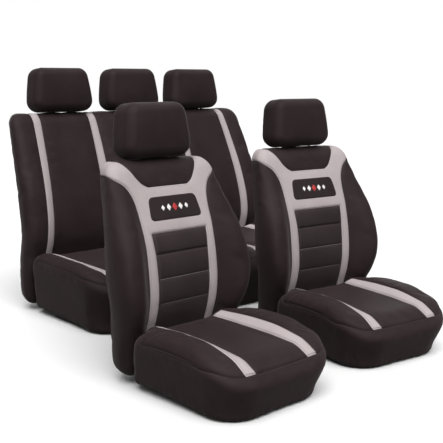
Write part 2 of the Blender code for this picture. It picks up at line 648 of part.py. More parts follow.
def place_seat(prefix, place, seat, meshes, head_names):
    base, back, head, pivot, frames = meshes
    x, y, turn = place
    root = empty(prefix + "seat", None, Matrix.Translation((x, y, 0)) @ Matrix.Rotation(math.radians(turn), 4, "Z"))
    hinge = empty(prefix + "recline_axis", root, Matrix.Translation((0, *pivot)))
    to_hinge = Matrix.Translation((0, -pivot[0], -pivot[1]))
    for piece, mesh in base.items():
        node(prefix + piece, piece, mesh, root, Matrix.Identity(4))
    for piece, mesh in back.items():
        node(prefix + piece, piece, mesh, hinge, to_hinge)
    for name, frame in zip(head_names, frames):
        slide = empty(prefix + name + "slide_axis", hinge, to_hinge @ frame)
        for piece, mesh in head.items():
            node(prefix + name + piece, piece, mesh, slide, Matrix.Identity(4))


def main():
    for obj in list(bpy.data.objects):
        bpy.data.objects.remove(obj)
    for place, prefix in ((LEFT_PLACE, "left_"), (RIGHT_PLACE, "right_")):
        meshes = seat_meshes(FRONT_SEAT, front_cushion_top, front_back_bolster, front_stripes(), front_panels())
        place_seat(prefix, place, FRONT_SEAT, meshes, ("",))
    back_stripes, seat_stripes = bench_stripes()
    meshes = seat_meshes(BENCH, bench_cushion_top, bench_back_bolster, seat_stripes, back_stripes)
    place_seat("bench_", BENCH_PLACE, BENCH, meshes, ("left_", "middle_", "right_"))


PARTS = bpy.data.collections.new(SET_NAME)
bpy.context.scene.collection.children.link(PARTS)
main()
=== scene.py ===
import json
import math

import bmesh
import bpy
import numpy as np
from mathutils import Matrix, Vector


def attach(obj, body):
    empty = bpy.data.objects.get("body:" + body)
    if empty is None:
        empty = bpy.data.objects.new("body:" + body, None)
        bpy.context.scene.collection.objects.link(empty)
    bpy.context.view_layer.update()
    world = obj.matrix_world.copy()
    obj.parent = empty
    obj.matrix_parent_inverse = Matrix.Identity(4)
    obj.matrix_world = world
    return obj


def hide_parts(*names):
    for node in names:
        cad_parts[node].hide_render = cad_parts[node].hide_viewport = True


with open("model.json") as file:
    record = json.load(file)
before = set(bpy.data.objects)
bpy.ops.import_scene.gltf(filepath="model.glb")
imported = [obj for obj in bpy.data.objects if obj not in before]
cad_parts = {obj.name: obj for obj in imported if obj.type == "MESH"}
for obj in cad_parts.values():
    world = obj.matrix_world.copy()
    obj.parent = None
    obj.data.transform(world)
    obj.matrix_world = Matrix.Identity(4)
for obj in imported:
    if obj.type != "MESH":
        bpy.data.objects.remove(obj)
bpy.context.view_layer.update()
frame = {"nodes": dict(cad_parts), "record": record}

# seat covers on two front seats and a rear bench; metres, every seat faces -Y in its own frame
# each cover is drawn on a flat chart, cut into panels there, and carried onto the seat's form

creaseGap = 0.007
hemFront, hemBack = 0.004, 0.026

frontSeat = {
    "halfWidth": 0.265, "front": -0.330, "back": 0.235, "top": 0.183, "height": 0.170,
    "cushionCorner": 0.130, "sideDraw": 0.14, "frontDraw": 0.14,
    "backHalf": 0.262, "backLow": 0.030, "backHigh": 0.765, "backCorner": 0.050,
    "face": ((0.0, 0.235), (0.10, 0.225), (0.195, 0.195), (0.25, 0.176), (0.30, 0.167), (0.40, 0.170),
             (0.52, 0.192), (0.60, 0.222), (0.68, 0.254), (0.80, 0.302)),
    "spread": ((0.0, 0.225), (0.12, 0.245), (0.25, 0.275), (0.36, 0.292), (0.48, 0.286), (0.60, 0.266),
               (0.70, 0.246), (0.80, 0.228)),
    "thickness": ((0.0, 0.085), (0.20, 0.11), (0.40, 0.12), (0.60, 0.11), (0.80, 0.095)),
    "headHalf": 0.148, "headRise": 0.097, "headAt": ((0.0, 0.345, 0.869),), "bezelTop": 0.7625,
    "bolster": ((0.0, 0.020), (0.15, 0.035), (0.25, 0.050), (0.40, 0.053), (0.52, 0.037), (0.64, 0.014),
                (0.72, 0.004), (0.80, 0.0)),
    "topBolster": 0.038, "frontDrop": 0.035, "rearRise": 0.018, "topSeam": (0.056, 0.014),
}
benchSeat = {
    "halfWidth": 0.705, "front": -0.375, "back": 0.250, "top": 0.250, "height": 0.235,
    "cushionCorner": 0.120, "sideDraw": 0.05, "frontDraw": 0.12,
    "backHalf": 0.705, "backLow": 0.030, "backHigh": 0.890, "backCorner": 0.050,
    "face": ((0.0, 0.250), (0.10, 0.238), (0.27, 0.195), (0.33, 0.178), (0.40, 0.175), (0.50, 0.190),
             (0.62, 0.222), (0.72, 0.258), (0.80, 0.290), (0.90, 0.335)),
    "spread": ((0.0, 0.680), (0.25, 0.705), (0.60, 0.705), (0.90, 0.680)),
    "thickness": ((0.0, 0.100), (0.30, 0.120), (0.60, 0.115), (0.90, 0.100)),
    "headHalf": 0.158, "headRise": 0.101, "bezelTop": 0.8875,
    "headAt": ((-0.40, 0.385, 0.998), (0.0, 0.385, 0.998), (0.40, 0.385, 0.998)),
    "bolster": ((0.0, 0.010), (0.30, 0.022), (0.50, 0.024), (0.75, 0.010), (0.90, 0.0)),
    "topBolster": 0.020, "frontDrop": 0.035, "rearRise": 0.012, "topSeam": (0.046, 0.014), "placeCentre": 0.42,
}


# smooth step, held at 0 and 1: three t squared less two t cubed
def ramp(t):
    t = np.clip(t, 0.0, 1.0)
    return t * t * (3 - 2 * t)


# smooth curve through (position, value) pairs: cubic pieces whose slopes average their neighbours'
def curveThrough(points):
    at, value = np.array(points, float).T
    step = np.diff(at)
    slope = np.diff(value) / step
    tangent = np.concatenate([slope[:1], (slope[:-1] * step[1:] + slope[1:] * step[:-1]) / (step[:-1] + step[1:]),
                              slope[-1:]])

    def curve(x):
        x = np.clip(x, at[0], at[-1])
        i = np.clip(np.searchsorted(at, x) - 1, 0, len(at) - 2)
        t = (x - at[i]) / step[i]
        rise = value[i + 1] - value[i]
        bend = (tangent[i] * (1 - t) - tangent[i + 1] * t) * step[i] + rise * (2 * t - 1)
        return value[i] + rise * t + t * (1 - t) * bend

    return curve


# 0 at the cushion's front and 1 at its back
def alongCushion(y, seat):
    return (y - seat["front"]) / (seat["back"] - seat["front"])


# a cushion's top: its level and bolster, less a smooth drop over the front fifth, plus a rise to the back
def topLine(along, bolster, seat):
    drop = seat["frontDrop"] * ramp((0.20 - along) / 0.20) ** 1.3
    return seat["top"] + bolster - drop + seat["rearRise"] * ramp(along)


# front cushion: the top line plus side bolsters that step up 90 mm out from the middle and fade to the back
def frontTop(x, y, seat):
    along = alongCushion(y, seat)
    bolster = seat["topBolster"] * ramp((np.abs(x) - 0.09) / 0.09) * ramp(along / 0.42)
    bolster = bolster * (1 - 0.42 * ramp((along - 0.5) / 0.5))
    return topLine(along, bolster, seat)


# bench cushion: the top line plus low bolsters that step up 130 mm to each side of an outer place's middle
def benchTop(x, y, seat):
    along = alongCushion(y, seat)
    besidePlace = np.abs(np.abs(x) - seat["placeCentre"])
    return topLine(along, seat["topBolster"] * ramp((besidePlace - 0.13) / 0.10) * ramp(along / 0.45), seat)


# a front backrest's side bolsters: the amount for the height, stepped up over the outer part of the width
def frontBolster(x, z):
    outwards = np.abs(x) / curveThrough(frontSeat["spread"])(z)
    return curveThrough(frontSeat["bolster"])(z) * ramp((outwards - 0.56) / 0.28)


# the bench back's bolsters: the amount for the height, stepped up 120 mm to each side of an outer place
def benchBolster(x, z):
    besidePlace = np.abs(np.abs(x) - benchSeat["placeCentre"])
    return curveThrough(benchSeat["bolster"])(z) * ramp((besidePlace - 0.12) / 0.10)


# A pad's chart is flat: inside the face's edge a point is where it is, and past the edge its distance
# runs round the rim, down the wall and in under the far edge. Returns (x, y, depth).
def padPoint(chart, pad):
    p, q = chart[:, 0], chart[:, 1]
    rim, wall, under = pad["rim"], pad["wall"], pad["under"]
    hx, hy = pad["half"][0] - rim, pad["half"][1] - rim
    radius = np.where(q < 0, pad["corners"][0], pad["corners"][1]) - rim
    ix = np.clip(p, radius - hx, hx - radius)
    iy = np.clip(q, radius - hy, hy - radius)
    dx, dy = p - ix, q - iy
    reach = np.maximum(np.hypot(dx, dy), 1e-9)
    beyond = np.maximum(reach - radius, 0)
    turn = np.clip(beyond / rim, 0, math.pi / 2)
    down = np.clip(beyond - rim * math.pi / 2, 0, wall)
    tuck = np.clip((beyond - rim * math.pi / 2 - wall) / under, 0, math.pi / 2)
    inwards = np.maximum(beyond - padReach(pad), 0)
    out = rim * np.sin(turn) - under * (1 - np.cos(tuck)) - inwards
    depth = rim * (1 - np.cos(turn)) + down + under * np.sin(tuck)
    far = np.where(reach > radius, radius + out, reach)
    return ix + dx / reach * far, iy + dy / reach * far, depth


# length of the chart past the face's edge: a quarter turn of the rim, the wall and a quarter turn of the tuck
def padReach(pad):
    return (pad["rim"] + pad["under"]) * math.pi / 2 + pad["wall"]


# rounded outline of a pad's chart, standing off its face edge: four straight sides and four quarter circles
def padOutline(pad, off, endOff=None, steps=10):
    endOff = off if endOff is None else endOff
    hx, hy = pad["half"][0] - pad["rim"] + off, pad["half"][1] - pad["rim"] + endOff
    outline = []
    for sx, sy, start in ((1, -1, -90), (1, 1, 0), (-1, 1, 90), (-1, -1, 180)):
        r = pad["corners"][0 if sy < 0 else 1] - pad["rim"] + (off + endOff) / 2
        for k in range(steps + 1):
            a = math.radians(start + 90 * k / steps)
            outline.append((sx * (hx - r) + r * math.cos(a), sy * (hy - r) + r * math.sin(a)))
    return np.array(outline)


# a cushion's chart: half sides, edge radius, wall height, tuck radius, front and back corner radii
def cushionPad(seat):
    return {"half": (seat["halfWidth"], (seat["back"] - seat["front"]) / 2), "rim": 0.045,
            "wall": seat["height"] - 0.065, "under": 0.020, "corners": (seat["cushionCorner"], 0.05001)}


# a backrest's chart, low corners first
def backPad(seat):
    return {"half": (seat["backHalf"], (seat["backHigh"] - seat["backLow"]) / 2), "rim": 0.040,
            "wall": 0.050, "under": 0.035, "corners": (0.05, seat["backCorner"])}


# chart to cushion: walls drawn in towards the hem, and the back wall laid along the backrest's face
def cushionForm(seat, top, bolster):
    pad = cushionPad(seat)
    face = curveThrough(seat["face"])
    middle = (seat["front"] + seat["back"]) / 2

    def form(chart):
        x, y, depth = padPoint(chart, pad)
        y = y + middle
        down = depth / seat["height"]
        crown = top(x, y, seat)
        along = alongCushion(y, seat)
        z = crown - (crown - hemFront - (hemBack - hemFront) * ramp(along)) * down
        x = x * (1 - seat["sideDraw"] * ramp(down))
        y = np.where(y < middle, middle + (y - middle) * (1 - seat["frontDraw"] * ramp(down)), y)
        wall = np.minimum(face(z) - bolster(x, z) - creaseGap, face(0.16) - creaseGap)
        share = ramp((y - middle) / (seat["back"] - middle))
        return np.stack([x, y - (seat["back"] - wall) * share, z], -1)

    return form


backDepth = 0.125    # chart depth of a backrest's rim, wall and tuck
backDraw = 0.026     # how far the sides come in towards the back


# a backrest's face, half width and thickness by height, and the middle of its chart
def backLines(seat):
    return (*(curveThrough(seat[key]) for key in ("face", "spread", "thickness")),
            (seat["backLow"] + seat["backHigh"]) / 2)


# chart to backrest: the face's curve less the bolsters, the sides swept back by the thickness and drawn in
def backForm(seat, bolster):
    pad = backPad(seat)
    face, spread, thickness, middle = backLines(seat)

    def form(chart):
        x, z, depth = padPoint(chart, pad)
        z = z + middle
        depth = depth / backDepth
        x = x * spread(z) / seat["backHalf"]
        y = face(z) - bolster(x, z) * (1 - ramp(depth * 2)) + thickness(z) * depth
        draw = backDraw * ramp(depth) * np.clip(np.abs(x) / seat["backHalf"], 0, 1)
        return np.stack([x - np.sign(x) * draw, y, z], -1)

    return form


# the flat back panel: the face's curve plus the thickness, on a chart of (-x, z) so that it faces backwards
def rearForm(seat):
    face, spread, thickness, middle = backLines(seat)

    def form(chart):
        x, z = -chart[:, 0], chart[:, 1] + middle
        y = face(z) + thickness(z)
        x = x * spread(z) / seat["backHalf"]
        draw = backDraw * np.clip(np.abs(x) / seat["backHalf"], 0, 1)
        return np.stack([x - np.sign(x) * draw, y, z], -1)

    return form


# every headrest: its edges, how much it narrows above and below a waist, its dome and its backward lean
head = {"rim": 0.034, "wall": 0.045, "under": 0.036, "corners": (0.042, 0.040), "waist": -0.05,
        "narrowAbove": 0.155, "narrowBelow": 0.07, "dome": 0.014, "lean": 0.10, "lift": 0.001}


# a headrest's chart
def headPad(seat):
    return {"half": (seat["headHalf"], seat["headRise"]), **head}


# chart to headrest, in the seat's frame: a domed front, narrower above and below, leaning back
def headForm(seat, at, rear=False):
    pad = headPad(seat)
    half, rise = pad["half"]
    depthAll = pad["rim"] + pad["wall"] + pad["under"]
    slope = math.atan(head["lean"])
    waist = head["waist"]

    def form(chart):
        if rear:
            x, z, depth = -chart[:, 0], chart[:, 1], depthAll + 0 * chart[:, 0]
        else:
            x, z, depth = padPoint(chart, pad)
        narrow = np.where(z > waist,
                          head["narrowAbove"] * (np.clip(z - waist, 0, None) / (rise - waist)) ** 1.35,
                          head["narrowBelow"] * (np.clip(waist - z, 0, None) / (rise + waist)) ** 1.5)
        crown = head["dome"] * np.clip(1 - (x / half) ** 2, 0, 1) * np.clip(1 - (z / rise) ** 2, 0, 1)
        level = 1 - 2 * depth / depthAll
        y = depth - depthAll / 2 - crown * np.where(level > 0, level, 0.5 * level)
        x = x * (1 - narrow)
        return np.stack([at[0] + x, at[1] + y * math.cos(slope) + z * math.sin(slope),
                         at[2] + z * math.cos(slope) - y * math.sin(slope)], -1)

    return form


# signed distance from points to a closed outline, positive inside, and the nearest point on it
def outlineDistance(points, outline):
    a = np.asarray(outline, float)
    b = np.roll(a, -1, axis=0)
    ab = b - a
    signed = np.empty(len(points))
    nearest = np.empty_like(points)
    for start in range(0, len(points), 20000):
        part = points[start:start + 20000]
        ap = part[:, None] - a[None]
        t = np.clip((ap * ab).sum(-1) / np.maximum((ab * ab).sum(-1), 1e-18), 0, 1)
        gap = ap - t[..., None] * ab
        d2 = (gap ** 2).sum(-1)
        best = d2.argmin(1)
        row = np.arange(len(part))
        crosses = (a[:, 1] > part[:, None, 1]) != (b[:, 1] > part[:, None, 1])
        at = a[:, 0] + (part[:, None, 1] - a[:, 1]) * ab[:, 0] / np.where(ab[:, 1] == 0, 1e-18, ab[:, 1])
        inside = (crosses & (part[:, None, 0] < at)).sum(1) % 2 == 1
        signed[start:start + 20000] = np.sqrt(d2[row, best]) * np.where(inside, 1, -1)
        nearest[start:start + 20000] = part - gap[row, best]
    return signed, nearest


# a region is a list of (outline, +1 to stay inside it or -1 to stay outside it)
def regionDistance(points, region):
    signed = np.full(len(points), np.inf)
    nearest = points.copy()
    for outline, side in region:
        d, near = outlineDistance(points, outline)
        closer = side * d < signed
        signed[closer] = side * d[closer]
        nearest[closer] = near[closer]
    return signed, nearest


# distance to the nearest of some open or closed paths
def pathDistance(points, paths):
    least = np.full(len(points), np.inf)
    for path in paths:
        path = np.asarray(path, float)
        a, ab = path[:-1], np.diff(path, axis=0)
        for start in range(0, len(points), 20000):
            ap = points[start:start + 20000, None] - a[None]
            t = np.clip((ap * ab).sum(-1) / np.maximum((ab * ab).sum(-1), 1e-18), 0, 1)
            d = np.sqrt(((ap - t[..., None] * ab) ** 2).sum(-1)).min(1)
            least[start:start + 20000] = np.minimum(least[start:start + 20000], d)
    return least


# a grid cut to a region: grid points within half a step of the outline are moved onto it, so the
# edge is clean. Returns chart points, quads, triangles, distance from the edge, and the grid's own facts.
def cutSheet(region, step):
    low, high = np.min(region[0][0], axis=0) - step, np.max(region[0][0], axis=0) + step
    count = np.ceil((high - low) / step).astype(int) + 1
    u, v = (low[i] + step * np.arange(count[i]) for i in (0, 1))
    points = np.stack(np.meshgrid(u, v, indexing="ij"), -1).reshape(-1, 2)
    signed, nearest = regionDistance(points, region)
    snapped = np.abs(signed) < 0.5 * step
    points[snapped] = nearest[snapped]
    signed[snapped] = 0
    side = np.sign(signed)
    index = np.arange(len(points)).reshape(count)
    quads = np.stack([index[:-1, :-1], index[1:, :-1], index[1:, 1:], index[:-1, 1:]], -1).reshape(-1, 4)
    corner = side[quads]
    whole = (corner >= 0).all(1) & (corner > 0).any(1)
    split = (corner < 0).any(1) & (corner > 0).any(1)
    first = quads[split & (corner[:, 0] == 0) & (corner[:, 2] == 0)]
    second = quads[split & (corner[:, 1] == 0) & (corner[:, 3] == 0)]
    triangles = np.concatenate([first[:, [0, 1, 2]], first[:, [0, 2, 3]],
                                second[:, [0, 1, 3]], second[:, [1, 2, 3]]])
    kept = (side[triangles] >= 0).all(1) & (side[triangles] > 0).any(1)
    quads, triangles = quads[whole], triangles[kept]
    used, packed = np.unique(np.concatenate([quads.ravel(), triangles.ravel()]), return_inverse=True)
    quads, triangles = packed[:quads.size].reshape(-1, 4), packed[quads.size:].reshape(-1, 3)
    edge = np.abs(regionDistance(points[used], region)[0])
    return points[used], quads, triangles, edge, {"cells": used, "low": low, "count": count, "step": step}


# chart points carried onto a form and lifted along its normal, which central differences give
def raised(form, chart, height):
    e = 0.0004
    across = form(chart + [e, 0]) - form(chart - [e, 0])
    along = form(chart + [0, e]) - form(chart - [0, e])
    normal = np.cross(across, along)
    normal /= np.maximum(np.linalg.norm(normal, axis=1), 1e-15)[:, None]
    return form(chart) + normal * np.asarray(height)[:, None]


clothRun = {"step": 0.012, "frames": 16, "grow": 0.010, "pressure": 1.0, "cap": 0.0036, "seed": 0.0008,
            "quality": 4, "mass": 0.15, "tension": 15, "shear": 5, "bending": 0.25}
slackFields = {}


# how slack cloth settles between its seams: a coarse copy of the panel, a little too large for its
# form and blown up softly, is run as cloth with its seams held. The movement is kept on the grid.
def slackField(key, form, region, height):
    if key in slackFields:
        return slackFields.get(key)
    chart, quads, triangles, edge, grid = cutSheet(region, clothRun["step"])
    start = raised(form, chart, height(chart, edge))
    p, q = chart[:, 0], chart[:, 1]
    wave = np.sin(p * 61 + 2.1 * np.sin(q * 37)) * np.sin(q * 53 + 1.7 * np.sin(p * 29))
    seeded = raised(form, chart, height(chart, edge) + clothRun["seed"] * wave * ramp(edge / 0.02))
    mesh = bpy.data.meshes.new("slack")
    mesh.from_pydata(seeded.tolist(), [], quads.tolist() + triangles.tolist())
    obj = bpy.data.objects.new("slack", mesh)
    scene = bpy.context.scene
    scene.collection.objects.link(obj)
    obj.vertex_groups.new(name="sewn").add(np.flatnonzero(edge < 0.3 * clothRun["step"]).tolist(), 1.0, "ADD")
    cloth = obj.modifiers.new("cloth", "CLOTH")
    run = cloth.settings
    run.quality = clothRun["quality"]
    run.mass = clothRun["mass"]
    run.tension_stiffness = run.compression_stiffness = clothRun["tension"]
    run.shear_stiffness = clothRun["shear"]
    run.bending_stiffness = clothRun["bending"]
    run.vertex_group_mass = "sewn"
    run.shrink_min = -clothRun["grow"]
    run.use_pressure = True
    run.uniform_pressure_force = clothRun["pressure"]
    run.effector_weights.gravity = 0
    cloth.point_cache.frame_start = 1
    cloth.point_cache.frame_end = clothRun["frames"]
    for number in range(1, clothRun["frames"] + 1):
        scene.frame_set(number)
    settled = obj.evaluated_get(bpy.context.evaluated_depsgraph_get()).to_mesh()
    end = np.empty(len(chart) * 3)
    settled.vertices.foreach_get("co", end)
    obj.to_mesh_clear()
    bpy.data.objects.remove(obj)
    bpy.data.meshes.remove(mesh)
    scene.frame_set(1)
    move = end.reshape(-1, 3) - start
    far = np.maximum(np.linalg.norm(move, axis=1), 1e-9)
    move *= (clothRun["cap"] * np.tanh(far / clothRun["cap"]) / far)[:, None]
    table = np.zeros((grid["count"].prod(), 3))
    table[grid["cells"]] = move
    slackFields[key] = (table.reshape(*grid["count"], 3), grid)
    print("slack cloth", key, len(chart), "mean mm", round(float(far.mean()) * 1000, 2))
    return slackFields[key]


# cubic B-spline weights of the four grid points around a place
def splineWeights(t):
    return np.stack([(1 - t) ** 3, 3 * t ** 3 - 6 * t ** 2 + 4, -3 * t ** 3 + 3 * t ** 2 + 3 * t + 1, t ** 3]) / 6


# the settled movement at chart points: the grid's movements weighted by the splines of both directions
def slackAt(field, chart):
    table, grid = field
    place = (chart - grid["low"]) / grid["step"]
    cell = np.floor(place).astype(int)
    weights = [splineWeights(place[:, i] - cell[:, i]) for i in (0, 1)]
    moved = np.zeros((len(chart), 3))
    for a in range(4):
        for b in range(4):
            i = np.clip(cell[:, 0] + a - 1, 0, grid["count"][0] - 1)
            j = np.clip(cell[:, 1] + b - 1, 0, grid["count"][1] - 1)
            moved += table[i, j] * (weights[0][a] * weights[1][b])[:, None]
    return moved


# smooth path through points, sampled about every step: a curve of the length for each coordinate
def smoothPath(points, step=0.004):
    points = np.asarray(points, float)
    length = np.concatenate([[0], np.cumsum(np.linalg.norm(np.diff(points, axis=0), axis=1))])
    s = np.linspace(0, length[-1], max(int(length[-1] / step), 2) + 1)
    return np.stack([curveThrough(np.stack([length, points[:, i]], -1))(s) for i in (0, 1)], -1)


def mirror(path):  # the same path on the other side, run the other way
    return np.asarray(path)[::-1] * [-1, 1]


# a polygon with short arcs at its corners
def rounded(corners, radius, steps=6):
    outline = []
    for i, corner in enumerate(corners):
        corner = Vector(corner)
        before = (Vector(corners[i - 1]) - corner).normalized()
        after = (Vector(corners[(i + 1) % len(corners)]) - corner).normalized()
        for k in range(steps + 1):
            t = k / steps
            outline.append(tuple(corner + radius * (before * (1 - t) ** 2 + after * t ** 2)))
    return np.array(outline)


# a smooth mesh with its chart as UV map, in metres, and without needle-thin faces
def makeMesh(name, points, quads, triangles, chart):
    mesh = bpy.data.meshes.new(name)
    mesh.from_pydata(points.tolist(), [], quads.tolist() + triangles.tolist())
    loops = np.empty(len(mesh.loops), int)
    mesh.loops.foreach_get("vertex_index", loops)
    layer = mesh.uv_layers.new(name="chart")
    layer.data.foreach_set("uv", chart[loops].astype(np.float32).ravel())
    bm = bmesh.new()
    bm.from_mesh(mesh)
    bmesh.ops.dissolve_degenerate(bm, edges=bm.edges, dist=1e-5)
    bm.to_mesh(mesh)
    bm.free()
    mesh.shade_smooth()
    return mesh


def seatPlaces():  # where each seat stands and how it is turned, from its mount and its recline axis
    mounts = {m["name"]: m["pos_m"] for m in frame["record"]["mounts"]}
    places = {}
    for joint in frame["record"]["behaviour"]["joints"]:
        if joint["name"].endswith("_recline"):
            seat = joint["name"][:-len("_recline")]
            mount = mounts["bench_base" if seat == "bench" else seat + "_seat_base"]
            places[seat] = (mount, math.atan2(-joint["axis"][1], -joint["axis"][0]))
    return places


places = seatPlaces()


# a seat's points turned about Z and moved to where it stands
def inWorld(points, seat):
    at, turn = places[seat]
    c, s = math.cos(turn), math.sin(turn)
    x, y = points[:, 0] * c - points[:, 1] * s, points[:, 0] * s + points[:, 1] * c
    return np.stack([x + at[0], y + at[1], points[:, 2] + at[2]], -1)


def addPiece(name, mesh, body, nodes, material):
    obj = bpy.data.objects.new(name, mesh)
    bpy.context.scene.collection.objects.link(obj)
    mesh.materials.append(material)
    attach(obj, body)
    if nodes:
        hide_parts(*nodes)
    return obj


def newMaterial(name):
    mat = bpy.data.materials.new(name)
    mat.use_nodes = True
    tree = mat.node_tree
    return mat, tree, tree.nodes["Principled BSDF"]


def addNode(tree, kind, inputs=None, **settings):
    node = tree.nodes.new(kind)
    for key, value in settings.items():
        setattr(node, key, value)
    for key, value in (inputs or {}).items():
        if isinstance(value, bpy.types.NodeSocket):
            tree.links.new(value, node.inputs[key])
        else:
            node.inputs[key].default_value = value
    return node


def calc(tree, operation, *values):
    return addNode(tree, "ShaderNodeMath", dict(enumerate(values)), operation=operation).outputs[0]


# a value carried in a straight line from one range to another, held at the ends
def remap(tree, value, low, high, newLow, newHigh):
    return addNode(tree, "ShaderNodeMapRange", {"Value": value, "From Min": low, "From Max": high,
                                                "To Min": newLow, "To Max": newHigh}).outputs[0]


def mixed(tree, share, look):  # between a look's dark and light colours
    return addNode(tree, "ShaderNodeMix", {"Factor": share, "A": (*look["dark"], 1), "B": (*look["light"], 1)},
                   data_type="RGBA").outputs["Result"]


def shade(tree, shader, color, tone):  # base colour times tone
    shaded = addNode(tree, "ShaderNodeVectorMath", {0: color, 1: tone}, operation="MULTIPLY")
    tree.links.new(shaded.outputs[0], shader.inputs["Base Color"])


def ridge(tree, shader, height, strength, depth):  # fine relief
    bump = addNode(tree, "ShaderNodeBump", {"Height": height, "Strength": strength, "Distance": depth})
    tree.links.new(bump.outputs[0], shader.inputs["Normal"])


# woven cloth: crossed threads on the chart, a slow change of colour, fuzz, and a sheen on the shader
def clothMaterial(name, look):
    mat, tree, shader = newMaterial(name)
    chart = addNode(tree, "ShaderNodeUVMap", uv_map="chart").outputs[0]
    place = addNode(tree, "ShaderNodeTexCoord").outputs["Object"]
    split = addNode(tree, "ShaderNodeSeparateXYZ", {0: chart})
    threads = []
    for axis, pitch in (("X", look["pitch"][0]), ("Y", look["pitch"][1])):
        angle = calc(tree, "MULTIPLY", split.outputs[axis], 2 * math.pi / pitch)
        threads.append(calc(tree, "SINE", angle))
    weave = calc(tree, "MULTIPLY", threads[0], threads[1])
    cloud = addNode(tree, "ShaderNodeTexNoise", {"Vector": place, "Scale": 7.0, "Detail": 4.0, "Roughness": 0.6})
    fuzz = addNode(tree, "ShaderNodeTexNoise", {"Vector": place, "Scale": 650.0, "Detail": 2.0})
    color = mixed(tree, remap(tree, cloud.outputs["Fac"], 0.3, 0.7, 0.0, 1.0), look)
    threadTone = remap(tree, weave, -1.0, 1.0, look["threadTone"], 1.0)
    fuzzTone = remap(tree, fuzz.outputs["Fac"], 0.3, 0.7, 0.88, 1.10)
    shade(tree, shader, color, calc(tree, "MULTIPLY", threadTone, fuzzTone))
    ridge(tree, shader, calc(tree, "MULTIPLY_ADD", weave, 0.5, fuzz.outputs["Fac"]), look["bump"], 0.0004)
    shader.inputs["Roughness"].default_value = look["roughness"]
    shader.inputs["Specular IOR Level"].default_value = look["specular"]
    shader.inputs["Sheen Weight"].default_value = look["sheen"]
    shader.inputs["Sheen Roughness"].default_value = 0.35
    shader.inputs["Sheen Tint"].default_value = (1.0, 0.84, 0.84, 1)
    return mat


looks = {
    "coverCloth": {"dark": (0.0230, 0.0138, 0.0150), "light": (0.0335, 0.0215, 0.0230), "pitch": (0.0022, 0.0022),
                   "threadTone": 0.64, "bump": 0.7, "roughness": 0.58, "specular": 0.13, "sheen": 0.08},
    "insertCloth": {"dark": (0.0265, 0.0180, 0.0188), "light": (0.0400, 0.0285, 0.0295), "pitch": (0.0030, 0.0012),
                    "threadTone": 0.72, "bump": 0.5, "roughness": 0.50, "specular": 0.20, "sheen": 0.12},
    "trimCloth": {"dark": (0.40, 0.348, 0.352), "light": (0.44, 0.386, 0.390), "pitch": (0.0016, 0.0016),
                  "threadTone": 0.88, "bump": 0.4, "roughness": 0.85, "specular": 0.20, "sheen": 0.05},
    "patchCloth": {"dark": (0.0230, 0.0160, 0.0168), "light": (0.0300, 0.0215, 0.0225), "pitch": (0.0010, 0.0010),
                   "threadTone": 0.85, "bump": 0.3, "roughness": 0.70, "specular": 0.10, "sheen": 0.05},
}
cloths = {name: clothMaterial(name, look) for name, look in looks.items()}


# twisted thread: a fine slanted ripple and a little change of tone
def threadMaterial(name, look):
    mat, tree, shader = newMaterial(name)
    place = addNode(tree, "ShaderNodeTexCoord").outputs["Object"]
    ripple = addNode(tree, "ShaderNodeTexWave", {"Vector": place, "Scale": 900.0, "Distortion": 1.5, "Detail": 1.0})
    shade(tree, shader, look["color"], remap(tree, ripple.outputs["Fac"], 0.0, 1.0, 0.80, 1.08))
    ridge(tree, shader, ripple.outputs["Fac"], 0.4, 0.0002)
    shader.inputs["Roughness"].default_value = look["roughness"]
    shader.inputs["Sheen Weight"].default_value = 0.1
    return mat


threadLooks = {
    "greyThread": {"color": (0.36, 0.32, 0.32), "roughness": 0.6, "slot": "grey_trim_fabric"},
    "darkThread": {"color": (0.024, 0.017, 0.018), "roughness": 0.6, "slot": "dark_cover_fabric"},
    "paleSeamThread": {"color": (0.20, 0.175, 0.175), "roughness": 0.5, "slot": "pleated_fabric"},
    "emblemThread": {"color": (0.80, 0.78, 0.76), "roughness": 0.45, "slot": "patch_fabric"},
    "accentThread": {"color": (0.45, 0.03, 0.03), "roughness": 0.45, "slot": "patch_fabric"},
}
for threadName, threadTone in threadLooks.items():
    cloths[threadName] = threadMaterial(threadName, threadTone)


# painted or plated metal and moulded plastic: fine grain in the surface, uneven gloss, faint scuffs
def hardMaterial(name, look):
    mat, tree, shader = newMaterial(name)
    place = addNode(tree, "ShaderNodeTexCoord").outputs["Object"]
    grain = addNode(tree, "ShaderNodeTexNoise", {"Vector": place, "Scale": look["grain"], "Detail": 3.0})
    wear = addNode(tree, "ShaderNodeTexNoise", {"Vector": place, "Scale": 9.0, "Detail": 6.0, "Roughness": 0.7})
    tree.links.new(mixed(tree, wear.outputs["Fac"], look), shader.inputs["Base Color"])
    tree.links.new(remap(tree, wear.outputs["Fac"], 0.3, 0.7, *look["gloss"]), shader.inputs["Roughness"])
    ridge(tree, shader, grain.outputs["Fac"], look["bump"], 0.0003)
    shader.inputs["Metallic"].default_value = look["metallic"]
    return mat


hardLooks = {
    "paintedSteel": {"dark": (0.020, 0.020, 0.021), "light": (0.035, 0.034, 0.035), "grain": 900.0, "bump": 0.25,
                     "gloss": (0.38, 0.55), "metallic": 0.0},
    # this steel's colour is set well below plated steel as painted shade, so the headrest posts read dark in the
    # gap under each headrest; the recliner shafts share the same darkened colour
    "brightSteel": {"dark": (0.26, 0.26, 0.27), "light": (0.34, 0.34, 0.35), "grain": 1500.0, "bump": 0.05,
                    "gloss": (0.22, 0.34), "metallic": 1.0},
    "blackPlastic": {"dark": (0.014, 0.013, 0.013), "light": (0.024, 0.022, 0.022), "grain": 1300.0, "bump": 0.35,
                     "gloss": (0.45, 0.60), "metallic": 0.0},
}
hard = {name: hardMaterial(name, look) for name, look in hardLooks.items()}
hardParts = {"cushion_pan": "paintedSteel", "back_frame": "paintedSteel", "recliner_shaft": "brightSteel",
             "headrest_posts": "brightSteel", "headrest_guide": "blackPlastic"}


def finishHardParts():
    for name, obj in frame["nodes"].items():
        for part, finish in hardParts.items():
            if name.endswith(part):
                for place in obj.material_slots:
                    place.material = hard[finish]


